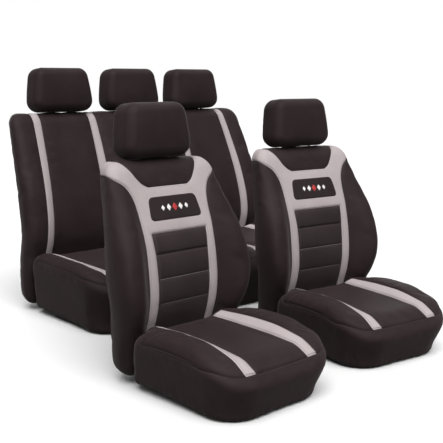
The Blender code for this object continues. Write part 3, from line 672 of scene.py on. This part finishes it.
# how deep a panel sinks at its seams, how far its padding lifts it, and over what distance it rises
padding = {"cover": (0.003, 0.002, 0.012), "trim": (0.003, 0.003, 0.010), "centre": (0.003, 0.004, 0.012),
           "bolster": (0.003, 0.003, 0.012), "rear": (0.004, 0.004, 0.02), "headRear": (0.002, 0.004, 0.012),
           "benchTop": (0.003, 0.004, 0.015), "benchCover": (0.003, 0.003, 0.015)}
seamWidth = 0.0028


# sewn edges: padding that grows as one less a falling exponential of the distance, less a bell-shaped seam
def sewn(distance, kind):
    sink, puff, spread = padding[kind]
    return puff * (1 - np.exp(-distance / spread)) - sink * np.exp(-(distance / seamWidth) ** 2)


def sewnEdge(kind):
    return lambda chart, edge: sewn(edge, kind)


spare = {"back": 0.010, "cushion": 0.012, "head": 0.004}    # cloth turned in past the end of the tuck


# a cover's whole outline on its chart, to where it is turned in
def fullOutline(pad, kind):
    return padOutline(pad, padReach(pad) + spare[kind])


panelStep = {"front": 0.0050, "bench": 0.0070, "head": 0.0048, "trim": 0.0040, "lining": 0.011}
liningDepth = 0.0042


# one panel: cut from the chart, raised on the form, slackened and placed on its seat
def panel(name, seat, body, form, region, step, height, cloth, nodes=(), slack=None):
    chart, quads, triangles, edge, grid = cutSheet(region, step)
    points = raised(form, chart, height(chart, edge))
    field = slackField(slack, form, region, height) if slack else None
    if field:
        points += slackAt(field, chart) * ramp(edge / 0.012)[:, None]
    points = inWorld(points, seat)
    mesh = makeMesh(name, points, quads, triangles, chart)
    obj = addPiece(name, mesh, body, nodes, cloths[cloth])
    print(name, len(mesh.polygons))
    return obj


# a plain under-cover a little below the panels, so every seam is backed with cloth
def lining(name, seat, body, form, outline):
    panel(name, seat, body, form, [(outline, 1)], panelStep["lining"], lambda chart, edge: -liningDepth + 0 * edge,
          "coverCloth")


threadLook = {"pitch": 0.0062, "length": 0.0046, "radius": 0.00062, "inset": 0.0045,
              "trimLift": 0.0013, "coverLift": 0.0008, "skirtLift": 0.0006}


# the path moved sideways on its chart, to the left of its run: its direction turned a quarter, times the offset
def shifted(path, off):
    path = np.asarray(path, float)
    run = np.gradient(path, axis=0)
    run /= np.maximum(np.linalg.norm(run, axis=1), 1e-12)[:, None]
    return path + off * np.stack([-run[:, 1], run[:, 0]], -1)


# places spaced evenly along a path, with the path's direction there
def spaced(path, pitch):
    length = np.concatenate([[0], np.cumsum(np.linalg.norm(np.diff(path, axis=0), axis=1))])
    s = np.arange(pitch / 2, length[-1], pitch)
    at = np.stack([np.interp(s, length, path[:, i]) for i in (0, 1)], -1)
    ahead = np.stack([np.interp(s + 1e-4, length, path[:, i]) for i in (0, 1)], -1)
    behind = np.stack([np.interp(s - 1e-4, length, path[:, i]) for i in (0, 1)], -1)
    run = ahead - behind
    return at, run / np.maximum(np.linalg.norm(run, axis=1), 1e-12)[:, None]


# a row of stitches: each is a short rod of five sides, thin at both ends and bowed up in the middle
def stitchRods(form, path, lift):
    at, run = spaced(path, threadLook["pitch"])
    half, radius = threadLook["length"] / 2, threadLook["radius"]
    rings = []
    turn = np.linspace(0, 2 * math.pi, 6)[:-1]
    level = 0 * at[:, 0] + lift
    a, b = raised(form, at - half * run, level), raised(form, at + half * run, level)
    up = raised(form, at, level + 0.001) - raised(form, at, level)
    up /= np.linalg.norm(up, axis=1)[:, None]
    side = np.cross(b - a, up)
    side /= np.maximum(np.linalg.norm(side, axis=1), 1e-12)[:, None]
    for t, r, bow in ((0.0, 0.5, -0.6), (0.25, 1.0, 0.3), (0.75, 1.0, 0.3), (1.0, 0.5, -0.6)):
        centre = a * (1 - t) + b * t + up * bow * radius
        circle = np.cos(turn)[None, :, None] * side[:, None] + np.sin(turn)[None, :, None] * up[:, None]
        rings.append(centre[:, None] + circle * r * radius)
    return np.stack(rings, 1)


# rows of stitches as one mesh: four rings of five points each, joined by quads and closed at both ends
def threadMesh(name, runs, seat):
    rods = np.concatenate(runs)
    n = len(rods)
    first = 20 * np.arange(n)[:, None]
    k = np.arange(5)
    follow = (k + 1) % 5
    quads = np.concatenate([np.stack([first + 5 * r + k, first + 5 * r + follow, first + 5 * r + 5 + follow,
                                      first + 5 * r + 5 + k], -1).reshape(-1, 4) for r in range(3)])
    ends = np.concatenate([first + k[::-1], first + 15 + k])
    mesh = bpy.data.meshes.new(name)
    mesh.from_pydata(inWorld(rods.reshape(-1, 3), seat).tolist(), [], quads.tolist() + ends.tolist())
    mesh.shade_smooth()
    return mesh


# cords along chart paths: six-sided tubes, rings of points across each path, closed at both ends
def seamCords(name, seat, body, form, paths, lift, radius, material):
    turn = np.linspace(0, 2 * math.pi, 7)[:-1]
    points, quads, ends = [], [], []
    for path in paths:
        first = sum(len(p) for p in points)
        at = raised(form, path, 0 * path[:, 0] + lift)
        up = raised(form, path, 0 * path[:, 0] + lift + 0.001) - at
        up /= np.linalg.norm(up, axis=1)[:, None]
        side = np.cross(np.gradient(at, axis=0), up)
        side /= np.linalg.norm(side, axis=1)[:, None]
        size = radius * np.where(np.arange(len(path)) % (len(path) - 1) == 0, 0.3, 1.0)
        ring = (at[:, None] + np.cos(turn)[None, :, None] * (side * size[:, None])[:, None]
                + np.sin(turn)[None, :, None] * (up * size[:, None])[:, None])
        index = first + np.arange(len(path) * 6).reshape(-1, 6)
        follow = np.roll(index, -1, axis=1)
        quads.append(np.stack([index[:-1], follow[:-1], follow[1:], index[1:]], -1).reshape(-1, 4))
        ends += [index[0][::-1].tolist(), index[-1].tolist()]
        points.append(ring.reshape(-1, 3))
    mesh = bpy.data.meshes.new(name)
    mesh.from_pydata(inWorld(np.concatenate(points), seat).tolist(), [], np.concatenate(quads).tolist() + ends)
    mesh.shade_smooth()
    addPiece(name, mesh, body, (), cloths[material])


def threads(name, seat, body, form, paths, lift, material):
    mesh = threadMesh(name, [stitchRods(form, path, lift) for path in paths], seat)
    addPiece(name, mesh, body, (), cloths[material])
    print(name, len(mesh.polygons))


# a row of embroidered diamonds: each is a square grid turned on its corner, domed, with satin ridges
emblem = {"count": 5, "pitch": 0.0265, "width": 0.0125, "height": 0.0150, "shrink": 0.16, "dome": 0.0013,
          "satin": 0.00025, "grid": 20, "at": 0.606, "lift": 0.0050}


def embroidery(name, seat, body, form, centre):
    u, v = np.meshgrid(*[np.linspace(-1, 1, emblem["grid"] + 1)] * 2, indexing="ij")
    dome = (emblem["dome"] * np.sqrt(np.clip((1 - u ** 2) * (1 - v ** 2), 0, 1))
            + emblem["satin"] * np.cos(u * 40) * (1 - v ** 2))
    index = np.arange(u.size).reshape(u.shape)
    cells = np.stack([index[:-1, :-1], index[1:, :-1], index[1:, 1:], index[:-1, 1:]], -1).reshape(-1, 4)
    for tone, chosen in (("emblemThread", (0, 1, 3, 4)), ("accentThread", (2,))):
        points, quads, charts = [], [], []
        for k in chosen:
            place = k - (emblem["count"] - 1) / 2
            scale = 1 - emblem["shrink"] * abs(place)
            x = centre[0] + place * emblem["pitch"] + (u - v) / 2 * emblem["width"] * scale
            z = centre[1] + (u + v) / 2 * emblem["height"] * scale
            chart = np.stack([x.ravel(), z.ravel()], -1)
            quads.append(cells + u.size * len(points))
            points.append(raised(form, chart, (emblem["lift"] + dome).ravel()))
            charts.append(chart)
        chart = np.concatenate(charts)
        mesh = makeMesh(name + "_" + tone, inWorld(np.concatenate(points), seat), np.concatenate(quads),
                        np.empty((0, 3), int), chart)
        addPiece(name + "_" + tone, mesh, body, (), cloths[tone])


# black plastic bezels round the headrest posts: a ring's profile turned about each post
bezel = {"postSpread": 0.070, "lean": 0.10, "sides": 32,
         "profile": ((0.0067, -0.004), (0.0067, 0.0048), (0.0074, 0.0056), (0.0105, 0.0052), (0.0140, 0.0030),
                     (0.0152, 0.0008), (0.0152, -0.004))}


def bezels(name, seat, body, at, top):
    r, h = np.array(bezel["profile"]).T
    turn = np.linspace(0, 2 * math.pi, bezel["sides"], endpoint=False)
    slope = math.atan(bezel["lean"])
    rows = len(r)
    index = np.arange(rows * bezel["sides"]).reshape(rows, -1)
    follow = np.roll(index, -1, axis=1)
    nextRow = np.roll(index, -1, axis=0)
    quads = np.stack([index, nextRow, np.roll(nextRow, -1, axis=1), follow], -1).reshape(-1, 4)
    points = []
    for sign in (-1, 1):
        x = sign * bezel["postSpread"] + r[:, None] * np.cos(turn)
        y = r[:, None] * np.sin(turn)
        z = h[:, None] + 0 * turn + (top - at[2])
        y, z = y * math.cos(slope) + z * math.sin(slope), z * math.cos(slope) - y * math.sin(slope)
        points.append(np.stack([at[0] + x, at[1] + y, at[2] + z], -1).reshape(-1, 3))
    mesh = bpy.data.meshes.new(name)
    mesh.from_pydata(inWorld(np.concatenate(points), seat).tolist(), [],
                     np.concatenate([quads, quads + points[0].shape[0]]).tolist())
    mesh.shade_smooth()
    addPiece(name, mesh, body, (), hard["blackPlastic"])


frontBackMiddle = (frontSeat["backLow"] + frontSeat["backHigh"]) / 2
frontCushionMiddle = (frontSeat["front"] + frontSeat["back"]) / 2


# (x, z) on the front of the backrest to its chart
def onBack(points, seat):
    points = np.asarray(points, float)
    spread = curveThrough(seat["spread"])(points[:, 1])
    return np.stack([points[:, 0] * seat["backHalf"] / spread,
                     points[:, 1] - (seat["backLow"] + seat["backHigh"]) / 2], -1)


patch = {"corners": ((0.118, 0.566), (0.107, 0.645), (-0.107, 0.645), (-0.118, 0.566)), "radius": 0.020,
         "base": 0.0030, "pad": 0.0022, "rise": 0.004}


# half outlines on the backrest's chart, each a smooth path through a few places, and the patch
def frontBackOutlines():
    foot = 0.10
    outerLow = onBack([(0.155, foot), (0.155, 0.19), (0.156, 0.25), (0.157, 0.33), (0.158, 0.42), (0.158, 0.50),
                       (0.160, 0.56), (0.162, 0.61), (0.169, 0.65), (0.190, 0.688)], frontSeat)
    shoulder = [(0.242, 0.3145), (0.285, 0.330), (0.340, 0.338), (0.450, 0.340)]
    outer = smoothPath(np.concatenate([outerLow, shoulder]))
    yokeHigh = onBack([(0.090, 0.6795), (0.1115, 0.6915), (0.128, 0.709)], frontSeat)
    yokeFoot = onBack([(0.0, 0.6795), (0.090, 0.6795)], frontSeat)
    yoke = np.concatenate([smoothPath(yokeFoot)[:-1],
                           smoothPath(np.concatenate([yokeHigh, [(0.152, 0.3290), (0.190, 0.380), (0.206, 0.430),
                                                                 (0.216, 0.520)]]))])
    inner = onBack([(0.118, foot), (0.118, 0.20), (0.118, 0.33), (0.120, 0.45), (0.125, 0.527)], frontSeat)
    inner = smoothPath(inner)
    patchEdge = onBack(rounded(patch["corners"], patch["radius"]), frontSeat)
    return {"outer": outer, "yoke": yoke, "inner": inner, "patch": patchEdge}


lines = frontBackOutlines()
trimOutline = np.concatenate([lines["outer"], lines["yoke"][::-1], mirror(lines["yoke"])[::-1][1:],
                              mirror(lines["outer"])])
insertOutline = np.concatenate([lines["inner"], mirror(lines["inner"])])
insert = {"low": 0.10, "high": 0.527, "tucks": (0.282, 0.370, 0.457), "swell": 0.0060, "tuckDepth": 0.0045,
          "tuckWidth": 0.0030, "cordHalf": 0.116, "cordDepth": 0.0010, "cordRadius": 0.0011}


def seatNodes(seat, *names):
    return [f"{seat}_{name}" for name in names]


# panels of a front backrest: cover, yoke, trim, pleated insert, patch and back panel
def frontBackrest(seat):
    pad = backPad(frontSeat)
    form = backForm(frontSeat, frontBolster)
    body = seat + "_backrest"
    full = fullOutline(pad, "back")
    sides = [lines["outer"], mirror(lines["outer"]), lines["yoke"], mirror(lines["yoke"])]

    def coverHeight(chart, edge):
        return sewn(pathDistance(chart, sides), "cover")

    lining(seat + "_backLining", seat, body, form, full)
    panel(seat + "_backCover", seat, body, form, [(full, 1), (trimOutline, -1)], panelStep["front"], coverHeight,
          "coverCloth", seatNodes(seat, "back_cover", "back_foam"), slack="frontBack")
    yokeOutline = np.concatenate([lines["yoke"], [(0.216, 0.60), (-0.216, 0.60)], mirror(lines["yoke"])])
    panel(seat + "_yoke", seat, body, form, [(full, 1), (yokeOutline, 1)], panelStep["front"], coverHeight,
          "coverCloth", ())
    panel(seat + "_trim", seat, body, form, [(trimOutline, 1), (full, 1), (insertOutline, -1)], panelStep["trim"],
          sewnEdge("trim"), "trimCloth", seatNodes(seat, "back_trim"))

    # between two tucks the swell follows a sine raised to 0.6, and each tuck is a bell-shaped groove
    def insertHeight(chart, edge):
        z = chart[:, 1] + frontBackMiddle
        seams = np.array([insert["low"], *insert["tucks"], insert["high"]])
        i = np.clip(np.searchsorted(seams, z) - 1, 0, len(seams) - 2)
        t = np.clip((z - seams[i]) / (seams[i + 1] - seams[i]), 0, 1)
        near = np.abs(z[:, None] - seams[None]).min(1)
        swell = (insert["swell"] * np.clip(np.sin(math.pi * t), 0, 1) ** 0.6
                 - insert["tuckDepth"] * np.exp(-(near / insert["tuckWidth"]) ** 2))
        return swell * ramp(edge / 0.010) - 0.003 * np.exp(-(edge / seamWidth) ** 2)

    panel(seat + "_insert", seat, body, form, [(insertOutline, 1)], panelStep["trim"] * 0.75, insertHeight,
          "insertCloth", seatNodes(seat, "back_insert"))
    panel(seat + "_patch", seat, body, form, [(lines["patch"], 1)], panelStep["trim"] * 0.75,
          lambda chart, edge: patch["base"] + patch["pad"] * ramp(edge / patch["rise"]), "patchCloth",
          seatNodes(seat, "back_patch"))
    inset = threadLook["inset"]
    insertTop = onBack([(0.1225, insert["high"]), (-0.1225, insert["high"])], frontSeat)
    patchRing = closed(lines["patch"])
    trimRuns = [shifted(path, off) for key, off in (("outer", inset), ("yoke", -inset), ("inner", -inset))
                for path in (lines[key], mirror(lines[key]))]
    trimRuns += [shifted(smoothPath(path), -inset) for path in (insertTop, patchRing)]
    threads(seat + "_trimThread", seat, body, form, trimRuns, threadLook["trimLift"], "greyThread")
    coverRuns = [shifted(path, off) for key, off in (("outer", -inset), ("yoke", inset))
                 for path in (lines[key], mirror(lines[key]))]
    threads(seat + "_coverThread", seat, body, form, coverRuns, threadLook["coverLift"], "darkThread")
    half = insert["cordHalf"] * frontSeat["backHalf"] / curveThrough(frontSeat["spread"])(insert["tucks"][1])
    seamRuns = [smoothPath([(-half, z - frontBackMiddle), (half, z - frontBackMiddle)])
                for z in insert["tucks"][1::-1]]
    seamCords(seat + "_insertCords", seat, body, form, seamRuns, -insert["cordDepth"], insert["cordRadius"],
              "paleSeamThread")
    embroidery(seat + "_emblem", seat, body, form, (0.0, emblem["at"] - frontBackMiddle))
    bezels(seat + "_bezels", seat, body, frontSeat["headAt"][0], frontSeat["bezelTop"])
    rear = padOutline(pad, 0.002)
    panel(seat + "_backPanel", seat, body, rearForm(frontSeat), [(rear * [-1, 1], 1)], panelStep["front"] * 1.3,
          sewnEdge("rear"), "coverCloth", ())


gather = {"depth": 0.0005, "folds": 61, "above": 0.035, "fade": 0.022}


# a skirt sinks into the top's seam, and near its hem a ripple round the seat gathers it a little
def skirtHeight(chart, seam, hem):
    down = pathDistance(chart, [hem])
    turn = np.arctan2(chart[:, 1], chart[:, 0])
    ripple = gather["depth"] * np.sin(turn * gather["folds"] + 1.5 * np.sin(turn * 17))
    ripple = ripple * np.exp(-np.abs(down - gather["above"]) / gather["fade"])
    return sewn(pathDistance(chart, [seam]), "cover") + ripple


def closed(outline):
    return np.concatenate([outline, outline[:1]])


def skirt(name, seat, form, full, top, step, slack):
    panel(name + "_skirt", seat, "seat_bases", form, [(full, 1), (top, -1)], step,
          lambda chart, edge: skirtHeight(chart, closed(top), closed(full)), "coverCloth", (), slack=slack)


def skirtThread(name, seat, form, top):
    runs = [shifted(smoothPath(closed(top)), off) for off in (-threadLook["inset"], threadLook["inset"])]
    threads(name + "_skirtThread", seat, "seat_bases", form, runs, threadLook["skirtLift"], "darkThread")


# the bench's grey stripes: each outline on its own side and mirrored, kept inside the cover's outline
def benchStripes(part, body, form, stripes, cover):
    for key, outline in stripes.items():
        for side, sign in (("l", -1), ("r", 1)):
            panel(f"bench_{part}Stripe_{key}_{side}", "bench", body, form, [(outline * [sign, 1], 1), (cover, 1)],
                  panelStep["trim"], sewnEdge("trim"), "trimCloth", [f"bench_{part}_stripe_{key}_{side}"])


# the stripe's edges on the front cushion, from the crease forwards
stripeStops = (0.40, 0.15, 0.0, -0.15, -0.35)
stripeEdges = ((0.118, 0.118, 0.118, 0.120, 0.122), (0.158, 0.158, 0.158, 0.160, 0.169))


# panels of the front cushion: centre, two stripes, two bolsters and a skirt round them
def frontCushion(seat):
    pad = cushionPad(frontSeat)
    form = cushionForm(frontSeat, frontTop, frontBolster)
    full = fullOutline(pad, "cushion")
    top = padOutline(pad, *frontSeat["topSeam"])
    m = frontCushionMiddle
    innerEdge, outerEdge = (smoothPath([(x, y - m) for x, y in zip(edge, stripeStops)]) for edge in stripeEdges)
    stripe = np.concatenate([innerEdge, outerEdge[::-1]])
    centre = np.concatenate([innerEdge, mirror(innerEdge)])

    body = "seat_bases"
    lining(seat + "_cushionLining", seat, body, form, full)
    panel(seat + "_cushionCentre", seat, body, form, [(centre, 1), (top, 1)], panelStep["front"],
          sewnEdge("centre"), "coverCloth", seatNodes(seat, "cushion_cover", "cushion_foam"),
          slack="frontCentre")
    for side, sign in (("l", -1), ("r", 1)):
        panel(f"{seat}_stripe_{side}", seat, body, form, [(stripe * [sign, 1], 1), (top, 1)], panelStep["trim"],
              sewnEdge("bolster"), "trimCloth", seatNodes(seat, "cushion_stripe_" + side))
        wing = np.concatenate([outerEdge, [(0.60, outerEdge[-1, 1]), (0.60, outerEdge[0, 1])]])
        panel(f"{seat}_cushionBolster_{side}", seat, body, form, [(wing * [sign, 1], 1), (top, 1)],
              panelStep["front"], sewnEdge("bolster"), "coverCloth", (), slack="frontBolster" + side)
    skirt(seat, seat, form, full, top, panelStep["front"], "frontSkirt")
    inset = threadLook["inset"]
    inTop = outlineDistance(outerEdge, top)[0] > 0.004
    edges = [innerEdge[inTop], outerEdge[inTop]]
    trimRuns = [shifted(edges[0], inset), shifted(edges[1], -inset)]
    trimRuns += [mirror(run) for run in trimRuns]
    threads(seat + "_stripeThread", seat, body, form, trimRuns, threadLook["trimLift"], "greyThread")
    skirtThread(seat, seat, form, top)


# a headrest: one panel round the front and sides, and one behind
def headrest(name, seat, dims, at, body, nodes):
    pad = headPad(dims)
    form = headForm(dims, at)
    full = fullOutline(pad, "head")
    panel(name + "Cover", seat, body, form, [(full, 1)], panelStep["head"],
          lambda chart, edge: head["lift"] + 0 * edge, "coverCloth", nodes)
    rear = padOutline(pad, 0.004)
    panel(name + "Back", seat, body, headForm(dims, at, rear=True), [(rear, 1)], panelStep["head"],
          sewnEdge("headRear"), "coverCloth", ())


# panels of the bench cushion: a top with four stripes let in, and a skirt
def benchCushion():
    pad = cushionPad(benchSeat)
    form = cushionForm(benchSeat, benchTop, benchBolster)
    m = (benchSeat["front"] + benchSeat["back"]) / 2
    full = fullOutline(pad, "cushion")
    top = padOutline(pad, *benchSeat["topSeam"])
    far, near = 0.40 - m, -0.45 - m
    stripes = {"outer": np.array([(0.582, far), (0.570, near), (0.608, near), (0.620, far)]),
               "inner": np.array([(0.242, far), (0.242, near), (0.280, near), (0.280, far)])}
    cuts = [(s * [sign, 1], -1) for s in stripes.values() for sign in (-1, 1)]
    lining("bench_cushionLining", "bench", "seat_bases", form, full)
    panel("bench_cushionTop", "bench", "seat_bases", form, [(top, 1)] + cuts, panelStep["bench"],
          sewnEdge("benchTop"), "coverCloth", ["bench_cushion_cover", "bench_cushion_foam"],
          slack="benchTop")
    benchStripes("cushion", "seat_bases", form, stripes, top)
    skirt("bench", "bench", form, full, top, panelStep["bench"], "benchSkirt")
    inset = threadLook["inset"]
    runs = []
    for s in stripes.values():
        for side in (s[:2], s[2:]):
            run = smoothPath(side)
            run = shifted(run[outlineDistance(run, top)[0] > 0.004], inset)
            runs += [run, mirror(run)]
    threads("bench_stripeThread", "bench", "seat_bases", form, runs, threadLook["trimLift"], "greyThread")
    skirtThread("bench", "bench", form, top)


# panels of the bench back: a cover with four stripes let in, and a flat panel behind
def benchBackrest():
    pad = backPad(benchSeat)
    form = backForm(benchSeat, benchBolster)
    full = fullOutline(pad, "back")
    high = 0.60
    outerLeft = smoothPath(np.concatenate([onBack([(0.582, 0.10), (0.581, 0.25), (0.574, 0.40), (0.558, 0.65),
                                                   (0.543, 0.85)], benchSeat), [(0.558, high)]]))
    outerRight = smoothPath(np.concatenate([onBack([(0.620, 0.10), (0.619, 0.25), (0.612, 0.40), (0.596, 0.65),
                                                    (0.581, 0.85)], benchSeat), [(0.597, high)]]))
    innerStripe = np.concatenate([onBack([(0.242, 0.10), (0.242, 0.85)], benchSeat), [(0.243, high), (0.283, high)],
                                  onBack([(0.280, 0.85), (0.280, 0.10)], benchSeat)])
    stripes = {"outer": np.concatenate([outerLeft, outerRight[::-1]]), "inner": innerStripe}
    cuts = [(s * [sign, 1], -1) for s in stripes.values() for sign in (-1, 1)]
    seams = [np.concatenate([s, s[:1]]) * [sign, 1] for s in stripes.values() for sign in (-1, 1)]
    lining("bench_backLining", "bench", "bench_backrest", form, full)
    panel("bench_backCover", "bench", "bench_backrest", form, [(full, 1)] + cuts, panelStep["bench"],
          lambda chart, edge: sewn(pathDistance(chart, seams), "benchCover"), "coverCloth",
          ["bench_back_cover", "bench_back_foam"], slack="benchBack")
    inset = threadLook["inset"]
    innerRuns = [smoothPath(innerStripe[:3]), smoothPath(innerStripe[3:][::-1])]
    runs = []
    for path, off in ((outerLeft, -inset), (outerRight, inset), (innerRuns[0], -inset), (innerRuns[1], inset)):
        run = shifted(path[outlineDistance(path, full)[0] > 0.012], off)
        runs += [run, mirror(run)]
    threads("bench_backThread", "bench", "bench_backrest", form, runs, threadLook["trimLift"], "greyThread")
    for place, at in zip(("left", "middle", "right"), benchSeat["headAt"]):
        bezels(f"bench_{place}_bezels", "bench", "bench_backrest", at, benchSeat["bezelTop"])
    benchStripes("back", "bench_backrest", form, stripes, full)
    panel("bench_backPanel", "bench", "bench_backrest", rearForm(benchSeat), [(padOutline(pad, 0.002), 1)],
          panelStep["bench"] * 1.3, sewnEdge("rear"), "coverCloth", ())


# the floor's own and reflected grey, the room's light at the horizon and overhead, and the lamps
stage = {"floor": 0.78, "bounce": 0.24, "low": 0.12, "high": 0.40,
         "key": {"towards": (-0.52, -0.70, 1.4), "strength": 4.0, "spread": 50},
         "rim": {"towards": (0.80, 0.75, 0.30), "strength": 0.85, "spread": 60},
         "fill": {"at": (-2.6, -3.2, 2.4), "target": (0.5, 0.4, 0.4), "size": 2.0, "power": 14}}
view = {"at": (-1.985, -2.080, 1.045), "azimuth": 43.887, "down": 9.193, "lens": 71.0}


def seenOrLit(tree, seen, lit):  # one shader for what is seen directly, another for the light that it gives
    direct = addNode(tree, "ShaderNodeLightPath").outputs["Is Camera Ray"]
    return addNode(tree, "ShaderNodeMixShader", {0: direct, 1: lit.outputs[0], 2: seen.outputs[0]}).outputs[0]


def makeStage():
    bpy.ops.mesh.primitive_plane_add(size=30, location=(0, 0, -0.0005))
    floor = bpy.context.object
    floor.name = "floor"
    mat, tree, shader = newMaterial("floorPaint")
    shader.inputs["Base Color"].default_value = (stage["floor"],) * 3 + (1,)
    shader.inputs["Roughness"].default_value = 0.9
    bounce = addNode(tree, "ShaderNodeBsdfDiffuse")
    bounce.inputs["Color"].default_value = (stage["bounce"],) * 3 + (1,)
    tree.links.new(seenOrLit(tree, shader, bounce), tree.nodes["Material Output"].inputs["Surface"])
    floor.data.materials.append(mat)
    world = bpy.data.worlds.new("studio")
    bpy.context.scene.world = world
    world.use_nodes = True
    tree = world.node_tree
    room, seen = tree.nodes["Background"], addNode(tree, "ShaderNodeBackground")
    height = addNode(tree, "ShaderNodeSeparateXYZ", {0: addNode(tree, "ShaderNodeTexCoord").outputs["Generated"]})
    level = remap(tree, height.outputs["Z"], 0.0, 1.0, stage["low"], stage["high"])
    tree.links.new(level, room.inputs["Strength"])
    seen.inputs["Strength"].default_value = 1.0
    for background in (room, seen):
        background.inputs["Color"].default_value = (1.0, 1.0, 1.0, 1)
    tree.links.new(seenOrLit(tree, seen, room), tree.nodes["World Output"].inputs["Surface"])
    bpy.context.scene.view_settings.view_transform = "Standard"


def softSun(name, towards, strength, spread):
    light = bpy.data.lights.new(name, "SUN")
    light.energy = strength
    light.angle = math.radians(spread)
    obj = bpy.data.objects.new(name, light)
    bpy.context.scene.collection.objects.link(obj)
    obj.rotation_euler = Vector(towards).to_track_quat("Z", "Y").to_euler()


def areaLight(name, at, target, size, power):
    light = bpy.data.lights.new(name, "AREA")
    light.shape = "DISK"
    light.size = size
    light.energy = power
    obj = bpy.data.objects.new(name, light)
    bpy.context.scene.collection.objects.link(obj)
    obj.location = at
    obj.rotation_euler = (Vector(target) - Vector(at)).to_track_quat("-Z", "Y").to_euler()


def makeCamera():
    camera = bpy.data.cameras.new("camera")
    camera.lens = view["lens"]
    camera.sensor_width = 36
    obj = bpy.data.objects.new("camera", camera)
    bpy.context.scene.collection.objects.link(obj)
    obj.location = view["at"]
    obj.rotation_euler = (math.radians(90 - view["down"]), 0, math.radians(-view["azimuth"]))
    bpy.context.scene.camera = obj


def main():
    makeCamera()
    makeStage()
    softSun("key", **stage["key"])
    softSun("rim", **stage["rim"])
    areaLight("fill", **stage["fill"])
    finishHardParts()
    for seat in ("left", "right"):
        frontBackrest(seat)
        frontCushion(seat)
        headrest(seat + "_headrest", seat, frontSeat, frontSeat["headAt"][0], seat + "_headrest",
                 seatNodes(seat, "headrest_cover", "headrest_foam"))
        print("seat done", seat)
    benchCushion()
    benchBackrest()
    for name, at in zip(("left", "middle", "right"), benchSeat["headAt"]):
        headrest(f"bench_{name}_headrest", "bench", benchSeat, at, f"bench_{name}_headrest",
                 [f"bench_{name}_headrest_cover", f"bench_{name}_headrest_foam"])
    print("bench done")


main()
